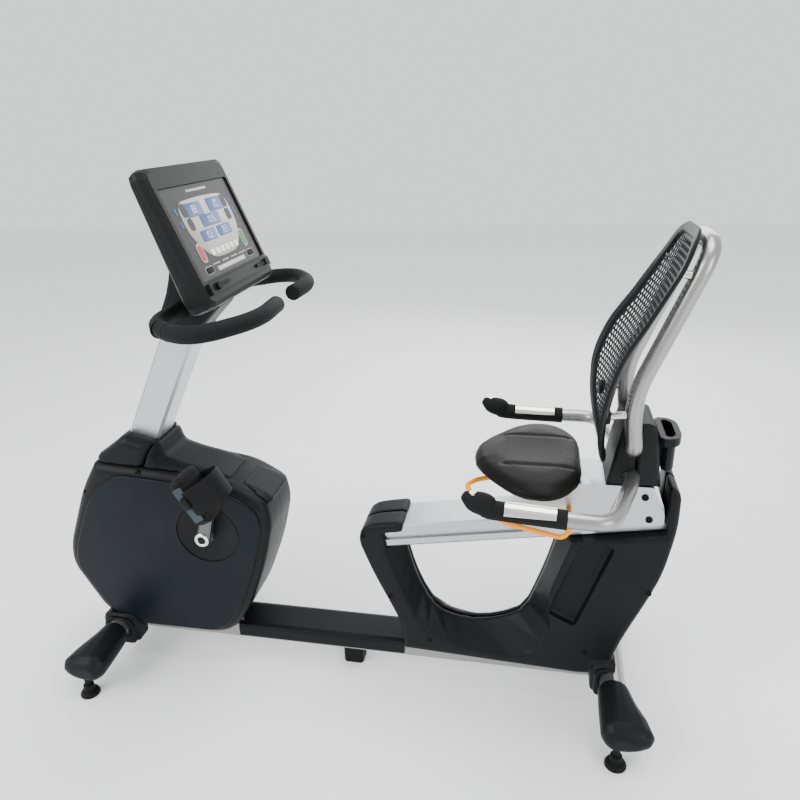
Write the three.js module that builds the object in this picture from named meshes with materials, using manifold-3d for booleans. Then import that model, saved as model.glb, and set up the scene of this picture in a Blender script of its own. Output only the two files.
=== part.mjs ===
// Recumbent exercise bike. Millimetres, +Z up, the rider faces -X, +Y is the rider's right-hand side.
// The frame stands on four levelling feet and one block foot. A seat carriage slides on an inclined rail.
import * as THREE from "three";
import { mergeVertices } from "three/addons/utils/BufferGeometryUtils.js";
import Module from "manifold-3d";

const wasm = await Module();
wasm.setup();

// ---------------------------------------------------------------- driving dimensions
const GAP = 0.4; // between neighbouring pieces that touch
const CENTRE_SHIFT = 15.6; // moves the whole bike so that its box is centred on X = 0

// floor frame
const BEAM = { front: -655, rear: 624, half: 40, low: 62, high: 102 };
const STABILISER = { radius: 30, height: 106, half: 124.6 };
const BOOT = { big: 50, small: 42, step: 14 };
const CAP = { half: 266, radius: 36, bulge: 44 };
const FOOT = { y: 237.5, radius: 24, height: 11, stem: 7 };
const FRONT_FOOT_X = -681;
const REAR_FOOT_X = 627;

// drive housing
const DRIVE = { half: 90, panel: 96, wall: 4 };
const CRANK = { x: -362, z: 421, length: 172.5, axle: 12 };
const FLYWHEEL = { x: -440, z: 243, radius: 98, half: 17 };
const BELT = { near: 46, far: 60, thick: 4 };
const CRANK_PULLEY_RADIUS = 96;
const SMALL_PULLEY_RADIUS = 24;
const CRANK_LEAN = 15.7; // degrees from upright, towards the seat, of the left arm at rest
const PEDAL = { y: 190, face: 30 };

// mast, console and handlebar
const MAST = { width: 75, half: 38, tilt: 27.3, x: -395, z: 900, low: 585, high: 985 };
const CONSOLE = { x: -281.5, z: 1150, tilt: 22, half: 178, top: 143, bottom: -152 };
const SEAM_DEPTH = { top: 20, bottom: 36 };
const BACK_DEPTH = { top: 40, bottom: 64 };
const BAR_RADIUS = 18;
const BAR_BEND = 300;

// rear frame and rail
const REAR = { half: 78, wall: 4 };
const RAIL = { x: 40, z: 449.5, length: 668, half: 53, height: 57, tilt: 9.4 };

// seat carriage
const CARRIAGE = { half: 61, wall: 4, top: 609 };
const COLUMN_HALF = 62;
const TUBE_RADIUS = 17;
const HANDLE = { y: 247, radius: 16 };
const SEAT_TOP = 652;

// ---------------------------------------------------------------- materials
const paint = (color, roughness, metalness = 0) =>
  new THREE.MeshStandardMaterial({ color, roughness, metalness });
const BLACK_PLASTIC = () => paint(0x16191c, 0.5);
const NAVY_PANEL = () => paint(0x10161d, 0.42);
const CHARCOAL = () => paint(0x303233, 0.55);
const SILVER_PAINT = () => paint(0xb9bab7, 0.35, 0.6);
const ALUMINIUM = () => paint(0xd4d5d6, 0.3, 0.9);
const STEEL = () => paint(0xc9c8c4, 0.22, 1);
const RUBBER = () => paint(0x121314, 0.85);
const FOAM = () => paint(0x26282a, 0.9);
const VINYL = () => paint(0x22221f, 0.45);
const ORANGE = () => paint(0xff9406, 0.4);

// ---------------------------------------------------------------- geometry helpers
const V = (x, y, z) => new THREE.Vector3(x, y, z);
const rad = THREE.MathUtils.degToRad;

// A closed geometry as a manifold solid.
function solid(geometry) {
  const bare = geometry.index ? geometry.toNonIndexed() : geometry.clone();
  bare.deleteAttribute("normal");
  bare.deleteAttribute("uv");
  const merged = mergeVertices(bare, 1e-3);
  const body = new wasm.Manifold(
    new wasm.Mesh({
      numProp: 3,
      vertProperties: new Float32Array(merged.attributes.position.array),
      triVerts: new Uint32Array(merged.index.array),
    }),
  );
  return body;
}

// A manifold solid as a three.js geometry.
function geometryOf(body) {
  const mesh = body.getMesh();
  const points = new Float32Array(mesh.numVert * 3);
  for (let i = 0; i < mesh.numVert; i++) {
    points.set(mesh.vertProperties.subarray(i * mesh.numProp, i * mesh.numProp + 3), i * 3);
  }
  const geometry = new THREE.BufferGeometry();
  geometry.setAttribute("position", new THREE.BufferAttribute(points, 3));
  geometry.setIndex(new THREE.BufferAttribute(mesh.triVerts, 1));
  geometry.computeVertexNormals();
  return geometry;
}

const join = (...bodies) => bodies.reduce((a, b) => a.add(b));
const sorted = (a, b) => [Math.min(a, b), Math.max(a, b)];
const cut = (body, ...tools) => tools.reduce((a, b) => a.subtract(b), body);
// The biggest piece of a solid, without the slivers a cut leaves.
const biggest = (body) => body.decompose().reduce((a, b) => (b.volume() > a.volume() ? b : a));

// A named mesh from a manifold solid.
function part(name, body, material) {
  const mesh = new THREE.Mesh(geometryOf(body), material);
  mesh.name = name;
  return mesh;
}

function box(x0, x1, y0, y1, z0, z1) {
  const g = new THREE.BoxGeometry(x1 - x0, y1 - y0, z1 - z0);
  g.translate((x0 + x1) / 2, (y0 + y1) / 2, (z0 + z1) / 2);
  return solid(g);
}

// A round bar along Y.
function barY(x, z, radius, y0, y1, sides = 20) {
  const g = new THREE.CylinderGeometry(radius, radius, y1 - y0, sides);
  g.translate(x, (y0 + y1) / 2, z);
  return solid(g);
}

// A round bar along Z, which may taper.
function barZ(x, y, low, high, z0, z1, sides = 16) {
  const g = new THREE.CylinderGeometry(high, low, z1 - z0, sides);
  g.rotateX(Math.PI / 2);
  g.translate(x, y, (z0 + z1) / 2);
  return solid(g);
}

// An outline from corners [a, b, radius], each rounded by an arc of a few points, and moved
// inwards by a distance (outwards when negative).
function outline(corners, inward = 0) {
  const moved = insetCorners(corners, inward);
  const points = [];
  const count = moved.length;
  moved.forEach(([a, b, radius], i) => {
    const here = new THREE.Vector2(a, b);
    if (radius === 0) {
      points.push(here);
      return;
    }
    const before = moved[(i + count - 1) % count];
    const after = moved[(i + 1) % count];
    const back = new THREE.Vector2(before[0], before[1]).sub(here);
    const ahead = new THREE.Vector2(after[0], after[1]).sub(here);
    const reach = Math.min(radius, back.length() * 0.48, ahead.length() * 0.48);
    const start = here.clone().addScaledVector(back.normalize(), reach);
    const end = here.clone().addScaledVector(ahead.normalize(), reach);
    const steps = radius < 9 ? 1 : radius < 50 ? 2 : 3;
    points.push(...new THREE.QuadraticBezierCurve(start, here, end).getPoints(steps));
  });
  return THREE.ShapeUtils.area(points) < 0 ? points.reverse() : points;
}

// Corners moved inwards, with each straight edge kept parallel to where it was.
function insetCorners(corners, distance) {
  const points = corners.map(([a, b]) => new THREE.Vector2(a, b));
  const turn = Math.sign(THREE.ShapeUtils.area(points));
  const count = corners.length;
  return corners.map(([a, b, radius = 0], i) => {
    const first = points[i].clone().sub(points[(i + count - 1) % count]).normalize();
    const second = points[(i + 1) % count].clone().sub(points[i]).normalize();
    const edge = new THREE.Vector2(-first.y, first.x).multiplyScalar(turn);
    const normal = new THREE.Vector2(-first.y - second.y, first.x + second.x);
    normal.multiplyScalar(turn).normalize();
    const reach = distance / Math.max(0.45, normal.dot(edge));
    return [a + normal.x * reach, b + normal.y * reach, radius];
  });
}

// A closed skin over flat rings that all have the same number of points.
function loft(rings) {
  const count = rings[0].length;
  const points = rings.flat();
  const faces = [];
  for (let r = 0; r + 1 < rings.length; r++) {
    for (let i = 0; i < count; i++) {
      const a = r * count + i;
      const b = r * count + ((i + 1) % count);
      faces.push([a, b, b + count], [a, b + count, a + count]);
    }
  }
  const last = points.length - count;
  faces.push(...fillRing(rings[0]).map(([a, b, c]) => [a, c, b]));
  faces.push(...fillRing(rings[rings.length - 1]).map((face) => face.map((i) => i + last)));
  const volume = faces.reduce((sum, [a, b, c]) => {
    return sum + points[a].dot(points[b].clone().cross(points[c]));
  }, 0);
  const index = volume < 0 ? faces.map(([a, b, c]) => [a, c, b]) : faces;
  const geometry = new THREE.BufferGeometry();
  const numbers = points.flatMap((p) => [p.x, p.y, p.z]);
  geometry.setAttribute("position", new THREE.Float32BufferAttribute(numbers, 3));
  geometry.setIndex(index.flat());
  return solid(geometry);
}

// Triangles that fill one flat ring, turning the same way as the ring.
function fillRing(ring) {
  const normal = V(0, 0, 0);
  ring.forEach((p, i) => normal.add(p.clone().cross(ring[(i + 1) % ring.length])));
  const across = ring[1].clone().sub(ring[0]).normalize();
  const up = normal.normalize().clone().cross(across);
  return wasm.triangulate([ring.map((p) => [p.dot(across), p.dot(up)])]);
}

// An XZ outline as a plate between two Y planes.
function plate(points, y0, y1) {
  return loft([points.map((p) => V(p.x, y0, p.y)), points.map((p) => V(p.x, y1, p.y))]);
}

// The plate over an outline's corners, with its edge rounded where it meets the y0 plane.
function roundedPlate(corners, y0, y1, radius, inward = 0) {
  const side = Math.sign(y1 - y0);
  const steps = radius < 8 ? 1 : radius < 16 ? 2 : 3;
  const rings = [];
  for (let i = 0; i <= steps; i++) {
    const angle = (i / steps) * (Math.PI / 2);
    const ring = outline(corners, inward + radius * (1 - Math.sin(angle)));
    rings.push(ring.map((p) => V(p.x, y0 + side * radius * (1 - Math.cos(angle)), p.y)));
  }
  rings.push(outline(corners, inward).map((p) => V(p.x, y1, p.y)));
  return loft(rings);
}

// A round tube along straight runs joined by smooth bends.
function tube(points, radius, bend, sides = 12) {
  const path = [points[0]];
  for (let i = 1; i + 1 < points.length; i++) {
    const back = points[i - 1].clone().sub(points[i]);
    const ahead = points[i + 1].clone().sub(points[i]);
    const reach = Math.min(bend, back.length() * 0.48, ahead.length() * 0.48);
    const start = points[i].clone().addScaledVector(back.normalize(), reach);
    const end = points[i].clone().addScaledVector(ahead.normalize(), reach);
    const turn = Math.PI - back.angleTo(ahead);
    const steps = Math.max(1, Math.ceil(turn / 0.4));
    path.push(...new THREE.QuadraticBezierCurve3(start, points[i], end).getPoints(steps));
  }
  path.push(points[points.length - 1]);
  const tangentAt = (i) => {
    const before = path[Math.max(0, i - 1)];
    const after = path[Math.min(path.length - 1, i + 1)];
    return after.clone().sub(before).normalize();
  };
  let across = tangentAt(0).cross(V(0.31, 0.2, 0.93)).normalize();
  const rings = path.map((centre, i) => {
    const along = tangentAt(i);
    across = across.clone().addScaledVector(along, -across.dot(along)).normalize();
    return ellipse(centre, across, along.clone().cross(across), radius, radius, sides);
  });
  return loft(rings);
}

// A round rod between two points.
function rod(from, to, radius, sides = 14) {
  const along = to.clone().sub(from);
  const g = new THREE.CylinderGeometry(radius, radius, along.length(), sides);
  g.applyQuaternion(new THREE.Quaternion().setFromUnitVectors(V(0, 1, 0), along.clone().normalize()));
  g.translate(...from.clone().add(to).multiplyScalar(0.5).toArray());
  return solid(g);
}

// An ellipse of points about a centre, in a plane given by two unit vectors.
function ellipse(centre, u, v, a, b, sides) {
  return Array.from({ length: sides }, (_, i) => {
    const t = (i / sides) * 2 * Math.PI;
    return centre.clone().addScaledVector(u, a * Math.cos(t)).addScaledVector(v, b * Math.sin(t));
  });
}

// The mirror image in Y of a list of points.
const mirrorY = (points) => points.map((p) => V(p.x, -p.y, p.z));

const bike = new THREE.Group();
bike.position.x = CENTRE_SHIFT;
const add = (...meshes) => meshes.forEach((mesh) => bike.add(mesh));

// ---------------------------------------------------------------- floor frame
// A flat-sided post with a four-cornered side view, grown by a clearance.
const post = (x0, x1, z1, x2, x3, z2, half, grow) => {
  const corners = [[x0, z1, 0], [x1, z1, 0], [x3, z2, 0], [x2, z2, 0]];
  return plate(outline(corners, -grow), -half - grow, half + grow);
};

// The posts and plates that stand on the beam under the housing.
function driveStem(grow) {
  const corners = [[-470, 98, 0], [-330, 98, 0], [-325, 470, 0], [-400, 470, 0], [-478, 290, 0]];
  const plates = outline(corners, -grow);
  return join(
    post(-592, -540, BEAM.high - 4, -622, -568, 300, 30, grow),
    post(-622, -568, 299.5, -592, -534, MAST.low - GAP, 30, grow),
    plate(plates, -36 - grow, -30 + grow),
    plate(plates, 30 - grow, 36 + grow),
  );
}

// The two posts that carry the rail.
const railPosts = (grow) => join(
  post(160, 194, BEAM.high - 4, 45, 80, 420, 20, grow),
  post(520, 576, BEAM.high - 4, 588, 640, 510, 30, grow),
);

// One welded frame: beam, cross tubes, posts, drive plates and the bottom bracket.
function baseFrame() {
  const beam = box(BEAM.front, BEAM.rear, -BEAM.half, BEAM.half, BEAM.low, BEAM.high);
  const cross = (x) => barY(x, STABILISER.height, STABILISER.radius, -STABILISER.half, STABILISER.half);
  const bracket = barY(CRANK.x, CRANK.z, 26, -40, 40);
  const body = join(beam, cross(BEAM.front), cross(BEAM.rear), driveStem(0), bracket, railPosts(0));
  const axleBore = barY(CRANK.x, CRANK.z, CRANK.axle + 0.4, -60, 60);
  const spindleBore = barY(FLYWHEEL.x, FLYWHEEL.z, 8.4, -60, 60, 16);
  const wall = 3.5;
  const inner = BEAM.half - wall;
  const beamBore = box(BEAM.front, BEAM.rear, -inner, inner, BEAM.low + wall, BEAM.high - wall);
  const crossBore = (x) => barY(x, STABILISER.height, STABILISER.radius - wall, -200, 200, 12);
  const bores = join(axleBore, spindleBore, beamBore, crossBore(BEAM.front), crossBore(BEAM.rear));
  return part("base_frame", cut(body, bores, railSolid(GAP)), SILVER_PAINT());
}

// A moulded end cap: round where it meets the tube, swelling away from the bike at its free end.
function endCap(name, x, direction, side, footX) {
  const sides = 16;
  const ring = (y, reach, z, half, shift) => {
    const points = [];
    for (let i = 0; i < sides; i++) {
      const t = (i / sides) * 2 * Math.PI;
      const outward = Math.cos(t) * direction > 0 ? reach : half;
      points.push(V(x + shift * direction + outward * Math.cos(t), side * y, z + half * Math.sin(t)));
    }
    return points;
  };
  const z = STABILISER.height - 14;
  const rings = [
    ring(125, 32, STABILISER.height, 32, 0),
    ring(130, CAP.radius, STABILISER.height - 1, CAP.radius, 0),
    ring(165, CAP.radius + 12, STABILISER.height - 5, CAP.radius + 1, 0),
    ring(205, CAP.radius + CAP.bulge * 0.75, z + 4, CAP.radius + 1, 0),
    ring(240, CAP.radius + CAP.bulge, z, CAP.radius, 0),
    ring(255, CAP.radius + CAP.bulge * 0.8, z - 3, CAP.radius - 8, 0),
    ring(CAP.half - 2, CAP.radius + CAP.bulge * 0.3, z - 6, CAP.radius - 20, 0),
  ];
  const body = loft(rings);
  const hole = barZ(footX, side * FOOT.y, 8.4, 8.4, 20, 92);
  return part(name, cut(body, hole), BLACK_PLASTIC());
}

// A levelling foot: rubber disc, metal nut and threaded stem in one turned piece.
function levellingFoot(name, x, side) {
  const profile = [[0, 0], [FOOT.radius, 0], [FOOT.radius, 5], [FOOT.radius - 3, FOOT.height]];
  profile.push([14, FOOT.height + 3], [13, 30], [8, 32], [8, 82], [0, 82]);
  const g = new THREE.LatheGeometry(profile.map(([r, z]) => new THREE.Vector2(r, z)), 14);
  g.rotateX(Math.PI / 2);
  g.translate(x, side * FOOT.y, 0);
  return part(name, solid(g), RUBBER());
}

// Side view of a boot, grown by a clearance for cutting its seat in the covers.
const bootEdge = (x, r, grow) => {
  const low = 60 - grow;
  const high = STABILISER.height + 0.8 * r + grow;
  const [front, rear] = [x - r - grow, x + r + grow];
  return outline([[front, low, 10], [rear, low, 10], [rear, high, 24], [front, high, 24]]);
};
const bootEnvelope = () => plate(bootEdge(BEAM.front, BOOT.big, GAP), -150, 150);

// A stepped moulding round each end of a cross tube, its two sides joined by a bar past the tube.
function boot(name, x, direction, reach) {
  const body = join(
    plate(bootEdge(x, BOOT.big, 0), -reach, reach),
    plate(bootEdge(x, BOOT.small, 0), -reach - BOOT.step, reach + BOOT.step),
  );
  const far = x + direction * 200;
  const near = x + direction * (STABILISER.radius + 4);
  const middle = box(Math.min(2 * x - far, near), Math.max(2 * x - far, near), -58, 58, 0, 300);
  const bore = barY(x, STABILISER.height, STABILISER.radius + GAP, -200, 200);
  return part(name, cut(body, bore, middle), BLACK_PLASTIC());
}

function middleFoot() {
  const block = roundedBlock(-58, -6, -24, 24, 0, BEAM.low - GAP, 6);
  return part("middle_foot", block, RUBBER());
}

// A block whose plan has rounded corners.
function roundedBlock(x0, x1, y0, y1, z0, z1, radius) {
  const plan = outline([[x0, y0, radius], [x1, y0, radius], [x1, y1, radius], [x0, y1, radius]]);
  return prism(plan, z0, z1);
}

// An XY outline as a prism between two heights.
function prism(plan, z0, z1) {
  return loft([plan.map((p) => V(p.x, p.y, z0)), plan.map((p) => V(p.x, p.y, z1))]);
}

add(baseFrame());
add(endCap("front_left_end_cap", BEAM.front, -1, -1, FRONT_FOOT_X));
add(endCap("front_right_end_cap", BEAM.front, -1, 1, FRONT_FOOT_X));
add(endCap("rear_left_end_cap", BEAM.rear, 1, -1, REAR_FOOT_X));
add(endCap("rear_right_end_cap", BEAM.rear, 1, 1, REAR_FOOT_X));
add(levellingFoot("front_left_foot", FRONT_FOOT_X, -1));
add(levellingFoot("front_right_foot", FRONT_FOOT_X, 1));
add(levellingFoot("rear_left_foot", REAR_FOOT_X, -1));
add(levellingFoot("rear_right_foot", REAR_FOOT_X, 1));
add(middleFoot());

// ---------------------------------------------------------------- drive housing
// Side view of the two housing halves: [x, z, corner radius].
const DRIVE_CORNERS = [
  [-613, 99, 20], [-345, 102, 60], [-285, 190, 60], [-226, 335, 120], [-197, 450, 60],
  [-206, 506, 12], [-228, 522, 30], [-287, 556, 60], [-445, 580, 60], [-518, 586, 20], [-590, 590, 20],
  [-646, 594, 10], [-697, 516, 60], [-769, 348, 40], [-777, 285, 40], [-704, 141, 30],
];
const PANEL_CORNERS = [
  [-612, 118, 20], [-362, 118, 50], [-304, 196, 60], [-246, 340, 120], [-217, 450, 60],
  [-229, 496, 40], [-292, 536, 60], [-445, 560, 60], [-590, 570, 40],
  [-672, 500, 60], [-742, 344, 40], [-750, 288, 40], [-684, 160, 30],
];
const RECESS = { outer: 80, inner: 49, depth: 12 };

// Everything inside the seam between the housing and its lid, grown a little.
const driveEnvelope = () => plate(outline(DRIVE_CORNERS, -GAP), -150, 150);

function driveCover(name, side) {
  const seam = (side * GAP) / 2;
  const shell = roundedPlate(DRIVE_CORNERS, side * DRIVE.half, seam, 26);
  const panel = roundedPlate(PANEL_CORNERS, side * DRIVE.panel, side * (DRIVE.half - 12), 5);
  const hollow = roundedPlate(DRIVE_CORNERS, side * (DRIVE.half - DRIVE.wall - 4), -side, 15, DRIVE.wall + 2);
  const floorY = side * (DRIVE.panel - RECESS.depth);
  const dishDepth = sorted(side * (DRIVE.half - 1), floorY - side * 5);
  const dish = barY(CRANK.x, CRANK.z, RECESS.outer + 4, ...dishDepth, 32);
  const ring = (y, r) => ellipse(V(CRANK.x, y, CRANK.z), V(1, 0, 0), V(0, 0, 1), r, r, 32);
  const bowl = loft([
    ring(side * 110, RECESS.outer + 6),
    ring(side * DRIVE.panel, RECESS.outer),
    ring(floorY, RECESS.inner),
  ]);
  const axle = barY(CRANK.x, CRANK.z, 26, -120, 120);
  const beam = box(-800, 0, -BEAM.half - 1, BEAM.half + 1, 0, BEAM.high + 1);
  const openings = [bowl, axle, beam, bootEnvelope(), mastSolid(1.2), driveStem(1)];
  return part(name, cut(cut(join(shell, panel), hollow).add(dish), ...openings), NAVY_PANEL());
}

// The crowned lid behind the mast, with a lip over the housing's rear edge.
function topCover() {
  const corners = [
    [-560, 560], [-400, 500, 40], [-250, 450], [-192, 503, 8],
    [-214, 524, 30], [-326, 570, 60], [-425, 591, 30], [-467, 606, 12], [-476, 642, 4], [-505, 650],
  ];
  const underLip = box(-260, -150, -100, 100, 400, 500);
  const body = roundedPlate(corners, -80, 0, 32).add(roundedPlate(corners, 80, 0, 32));
  const lid = biggest(cut(body, underLip, mastSolid(1.2), driveEnvelope(), collarEnvelope()));
  return part("top_cover", lid, BLACK_PLASTIC());
}

const COLLAR_CORNERS = [
  [-545, 520], [-484, 646, 4], [-560, 666, 8], [-600, 634, 20], [-646, 604, 12], [-620, 520],
];
const collarEnvelope = () => plate(outline(COLLAR_CORNERS, -GAP), -120, 120);

// The collar that closes the housing round the foot of the mast.
function mastCollar() {
  const body = roundedPlate(COLLAR_CORNERS, -80, 0, 22).add(roundedPlate(COLLAR_CORNERS, 80, 0, 22));
  return part("mast_collar", cut(body, mastSolid(0.8), driveEnvelope()), BLACK_PLASTIC());
}

// The mast's outline grown by a clearance, for cutting its passage.
function mastSolid(clearance) {
  const t = rad(MAST.tilt);
  const along = V(Math.sin(t), 0, Math.cos(t));
  const across = V(Math.cos(t), 0, -Math.sin(t));
  const a = MAST.width / 2 + clearance;
  const b = MAST.half + clearance;
  const section = outline([[-a, -b, 6], [a, -b, 6], [a, b, 6], [-a, b, 6]]);
  const centre = V(MAST.x, 0, MAST.z);
  const ringAt = (z) => {
    const middle = centre.clone().addScaledVector(along, (z - MAST.z) / Math.cos(t));
    return section.map((p) => middle.clone().addScaledVector(across, p.x).add(V(0, p.y, 0)));
  };
  return loft([ringAt(MAST.low - 40), ringAt(MAST.high)]);
}

function mast() {
  const below = box(-900, 0, -60, 60, 0, MAST.low);
  const above = box(-900, 0, -60, 60, 905, 1200);
  return part("mast", cut(mastSolid(0), mastSolid(-4), below, above), ALUMINIUM());
}

// A channel-shaped cover that drops over the floor beam.
function beamCover() {
  const half = 50;
  const section = outline([[-half, 74], [half, 74], [half, 112, 12], [-half, 112, 12]]);
  const rings = [-338, 114].map((x) => section.map((p) => V(x, p.x, p.y)));
  const clear = box(-400, 200, -BEAM.half - 3, BEAM.half + 3, 0, BEAM.high + GAP);
  return part("beam_cover", cut(loft(rings), clear, driveEnvelope(), driveStem(1)), BLACK_PLASTIC());
}

add(driveCover("drive_cover_left", -1), driveCover("drive_cover_right", 1), beamCover());
add(topCover(), mastCollar(), mast());
add(boot("front_boot", BEAM.front, -1, 100));

// ---------------------------------------------------------------- crank, pedals, belt and flywheel
const lean = rad(CRANK_LEAN);
const pedalCentre = (side) => V(
  CRANK.x - side * CRANK.length * Math.sin(lean),
  side * PEDAL.y,
  CRANK.z - side * CRANK.length * Math.cos(lean),
);

// A crank arm with the pedal spindle screwed into its end.
function crankArm(name, side) {
  const hub = V(CRANK.x, 0, CRANK.z);
  const end = pedalCentre(side).setY(0);
  const along = end.clone().sub(hub).normalize();
  const across = V(along.z, 0, -along.x);
  const near = 102 * side;
  const far = 122 * side;
  const corner = (a, b) => {
    const p = hub.clone().addScaledVector(along, a).addScaledVector(across, b);
    return [p.x, p.z, 12];
  };
  const long = CRANK.length + 14;
  const corners = [corner(-18, -17), corner(-18, 17), corner(long, 13), corner(long, -13)];
  const arm = roundedPlate(corners, far, near, 5);
  const boss = barY(CRANK.x, CRANK.z, 20, ...sorted(88 * side, near + side), 24);
  const socket = barY(CRANK.x, CRANK.z, CRANK.axle + GAP, ...sorted(80 * side, 112 * side), 16);
  const spindle = barY(end.x, end.z, 7, ...sorted(side * 110, side * (PEDAL.y + 37)), 16);
  const collar = barY(end.x, end.z, 11, ...sorted(side * 121, side * 136), 16);
  return part(name, join(cut(join(arm, boss), socket), spindle, collar), STEEL());
}

function crankAxle() {
  const shaft = barY(CRANK.x, CRANK.z, CRANK.axle, -111, 111, 16);
  return part("crank_axle", shaft, STEEL());
}

function crankPulley() {
  const rim = barY(CRANK.x, CRANK.z, CRANK_PULLEY_RADIUS, BELT.near, BELT.far, 32);
  const dish = barY(CRANK.x, CRANK.z, CRANK_PULLEY_RADIUS - 14, BELT.near + 5, BELT.far + 5, 24);
  const hub = barY(CRANK.x, CRANK.z, 24, BELT.near + 3, BELT.far + 8, 16);
  const bore = barY(CRANK.x, CRANK.z, CRANK.axle + GAP, 0, 100, 16);
  return part("crank_pulley", cut(cut(rim, dish).add(hub), bore), BLACK_PLASTIC());
}

function flywheel() {
  const { x, z, radius, half } = FLYWHEEL;
  const disc = barY(x, z, radius, -half, half, 32);
  const hub = barY(x, z, 22, half - 1, 28);
  const face = (y0, y1) => cut(barY(x, z, radius - 22, y0, y1), barY(x, z, 30, y0 - 1, y1 + 1, 16));
  const bore = barY(x, z, 8.4, -80, 80, 16);
  return part("flywheel", cut(cut(disc, face(-half - 1, -8), face(8, half + 1)).add(hub), bore), STEEL());
}

// The flywheel's spindle turns with it, in the drive plates, and carries the small pulley.
function flywheelSpindle() {
  const { x, z } = FLYWHEEL;
  const shaft = barY(x, z, 8, -42, BELT.far + 2, 16);
  const pulley = barY(x, z, SMALL_PULLEY_RADIUS, BELT.near, BELT.far);
  return part("flywheel_spindle", join(shaft, pulley), STEEL());
}

// The belt: outer tangents to both pulleys, as a band with an open middle.
function driveBelt() {
  const big = new THREE.Vector2(CRANK.x, CRANK.z);
  const small = new THREE.Vector2(FLYWHEEL.x, FLYWHEEL.z);
  const loop = (extra) => {
    const r1 = CRANK_PULLEY_RADIUS + extra;
    const r2 = SMALL_PULLEY_RADIUS + extra;
    const line = small.clone().sub(big);
    const base = line.angle();
    const opening = Math.acos((r1 - r2) / line.length());
    const points = [];
    const arc = (centre, radius, from, to, count) => {
      for (let i = 0; i <= count; i++) {
        const t = from + ((to - from) * i) / count;
        points.push(new THREE.Vector2(centre.x + radius * Math.cos(t), centre.y + radius * Math.sin(t)));
      }
    };
    arc(big, r1, base + opening, base + 2 * Math.PI - opening, 20);
    arc(small, r2, base - opening, base + opening, 6);
    return points;
  };
  const outer = plate(loop(BELT.thick), BELT.near + 1, BELT.far - 1);
  const inner = plate(loop(0.8), BELT.near - 1, BELT.far + 1);
  return part("drive_belt", cut(outer, inner), RUBBER());
}

// Pedal frame of reference: "heel" runs from toe to heel, "face" points at the rider's sole.
const heel = V(Math.cos(rad(90 - PEDAL.face)), 0, -Math.sin(rad(90 - PEDAL.face)));
const sole = V(-heel.z, 0, heel.x);
const onPedal = (side, a, y, n) => pedalCentre(side)
  .addScaledVector(heel, a)
  .addScaledVector(sole, n)
  .add(V(0, side * y, 0));

function pedal(name, side) {
  const centre = pedalCentre(side);
  const plan = outline([
    [-62, -40, 16], [50, -46, 20], [64, -20, 20], [64, 20, 20], [50, 46, 20], [-62, 40, 16],
  ]);
  const ringAt = (n, k) => plan.map((p) => onPedal(side, p.x * k, p.y * k, n));
  const slab = loft([ringAt(-16, 0.9), ringAt(-12, 0.98), ringAt(8, 1), ringAt(12, 0.97)]);
  const bore = barY(centre.x, centre.z, 7 + 0.5, -300, 300, 16);
  const pocket = barY(centre.x, centre.z, 9, ...sorted(side * (PEDAL.y + 38), side * 300), 16);
  return part(name, cut(slab, bore, pocket), BLACK_PLASTIC());
}

// The foot strap: a wide band that arches over the tread from one side of the pedal to the other.
function pedalStrap(name, side) {
  const centre = pedalCentre(side);
  const arch = (grow) => [
    [-46.5 - grow, -10], [-52 - grow, 24], [-34 - grow, 62 + grow], [0, 74 + grow],
    [34 + grow, 62 + grow], [52 + grow, 24], [46.5 + grow, -10],
  ];
  const section = [...arch(3), ...arch(0).reverse()];
  const ringAt = (a) => section.map(([y, n]) => onPedal(side, a, y, n));
  const spindle = barY(centre.x, centre.z, 9, -300, 300, 12);
  return part(name, cut(loft([ringAt(-34), ringAt(30)]), spindle), RUBBER());
}

add(crankAxle(), crankPulley(), flywheel(), flywheelSpindle(), driveBelt());
for (const [word, side] of [["left", -1], ["right", 1]]) {
  add(crankArm(`crank_arm_${word}`, side));
  add(pedal(`pedal_${word}`, side));
  add(pedalStrap(`pedal_strap_${word}`, side));
}

// ---------------------------------------------------------------- rear frame and rail
const railTop = (x) => RAIL.z + (x - RAIL.x) * Math.tan(rad(RAIL.tilt));
const railLow = (x) => railTop(x) - RAIL.height / Math.cos(rad(RAIL.tilt));

// Side view of the rear covers: a loop under the front of the rail and a broad body behind.
const REAR_CORNERS = [
  [116, 103, 2], [560, 96, 20], [612, 112, 20], [636, 200, 60], [688, 330, 120], [712, 400, 80],
  [731, 520, 60], [729, 604, 20], [705, 621, 8], [705, railLow(705) - 1, 2],
  [486, railLow(486) - 1, 6], [455, 340, 120], [412, 222, 60], [300, 171, 90], [194, 190, 60], [140, 310, 90],
  [124, 400, 6], [124, 474, 6], [60, 464, 26], [24, 452, 24], [11, 415, 26],
  [46, 320, 120], [84, 240, 60], [116, 165, 30],
];
// The window between loop, floor bar and body: at mid-plane, and flared where it meets the sides.
const WINDOW_CORNERS = [
  [486, 480, 6], [455, 340, 120], [412, 222, 60], [380, 200, 40],
  [300, 171, 90], [194, 190, 60], [140, 310, 90], [112, 440, 10],
];
const DISH_CORNERS = [
  [528, 520, 6], [460, 300, 90], [486, 190, 60], [430, 128, 50],
  [270, 128, 60], [165, 165, 50], [95, 330, 90], [66, 440, 10],
];
const POCKET_CORNERS = [[538, 482, 4], [604, 458, 4], [529, 236, 4], [468, 266, 4]];

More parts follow.
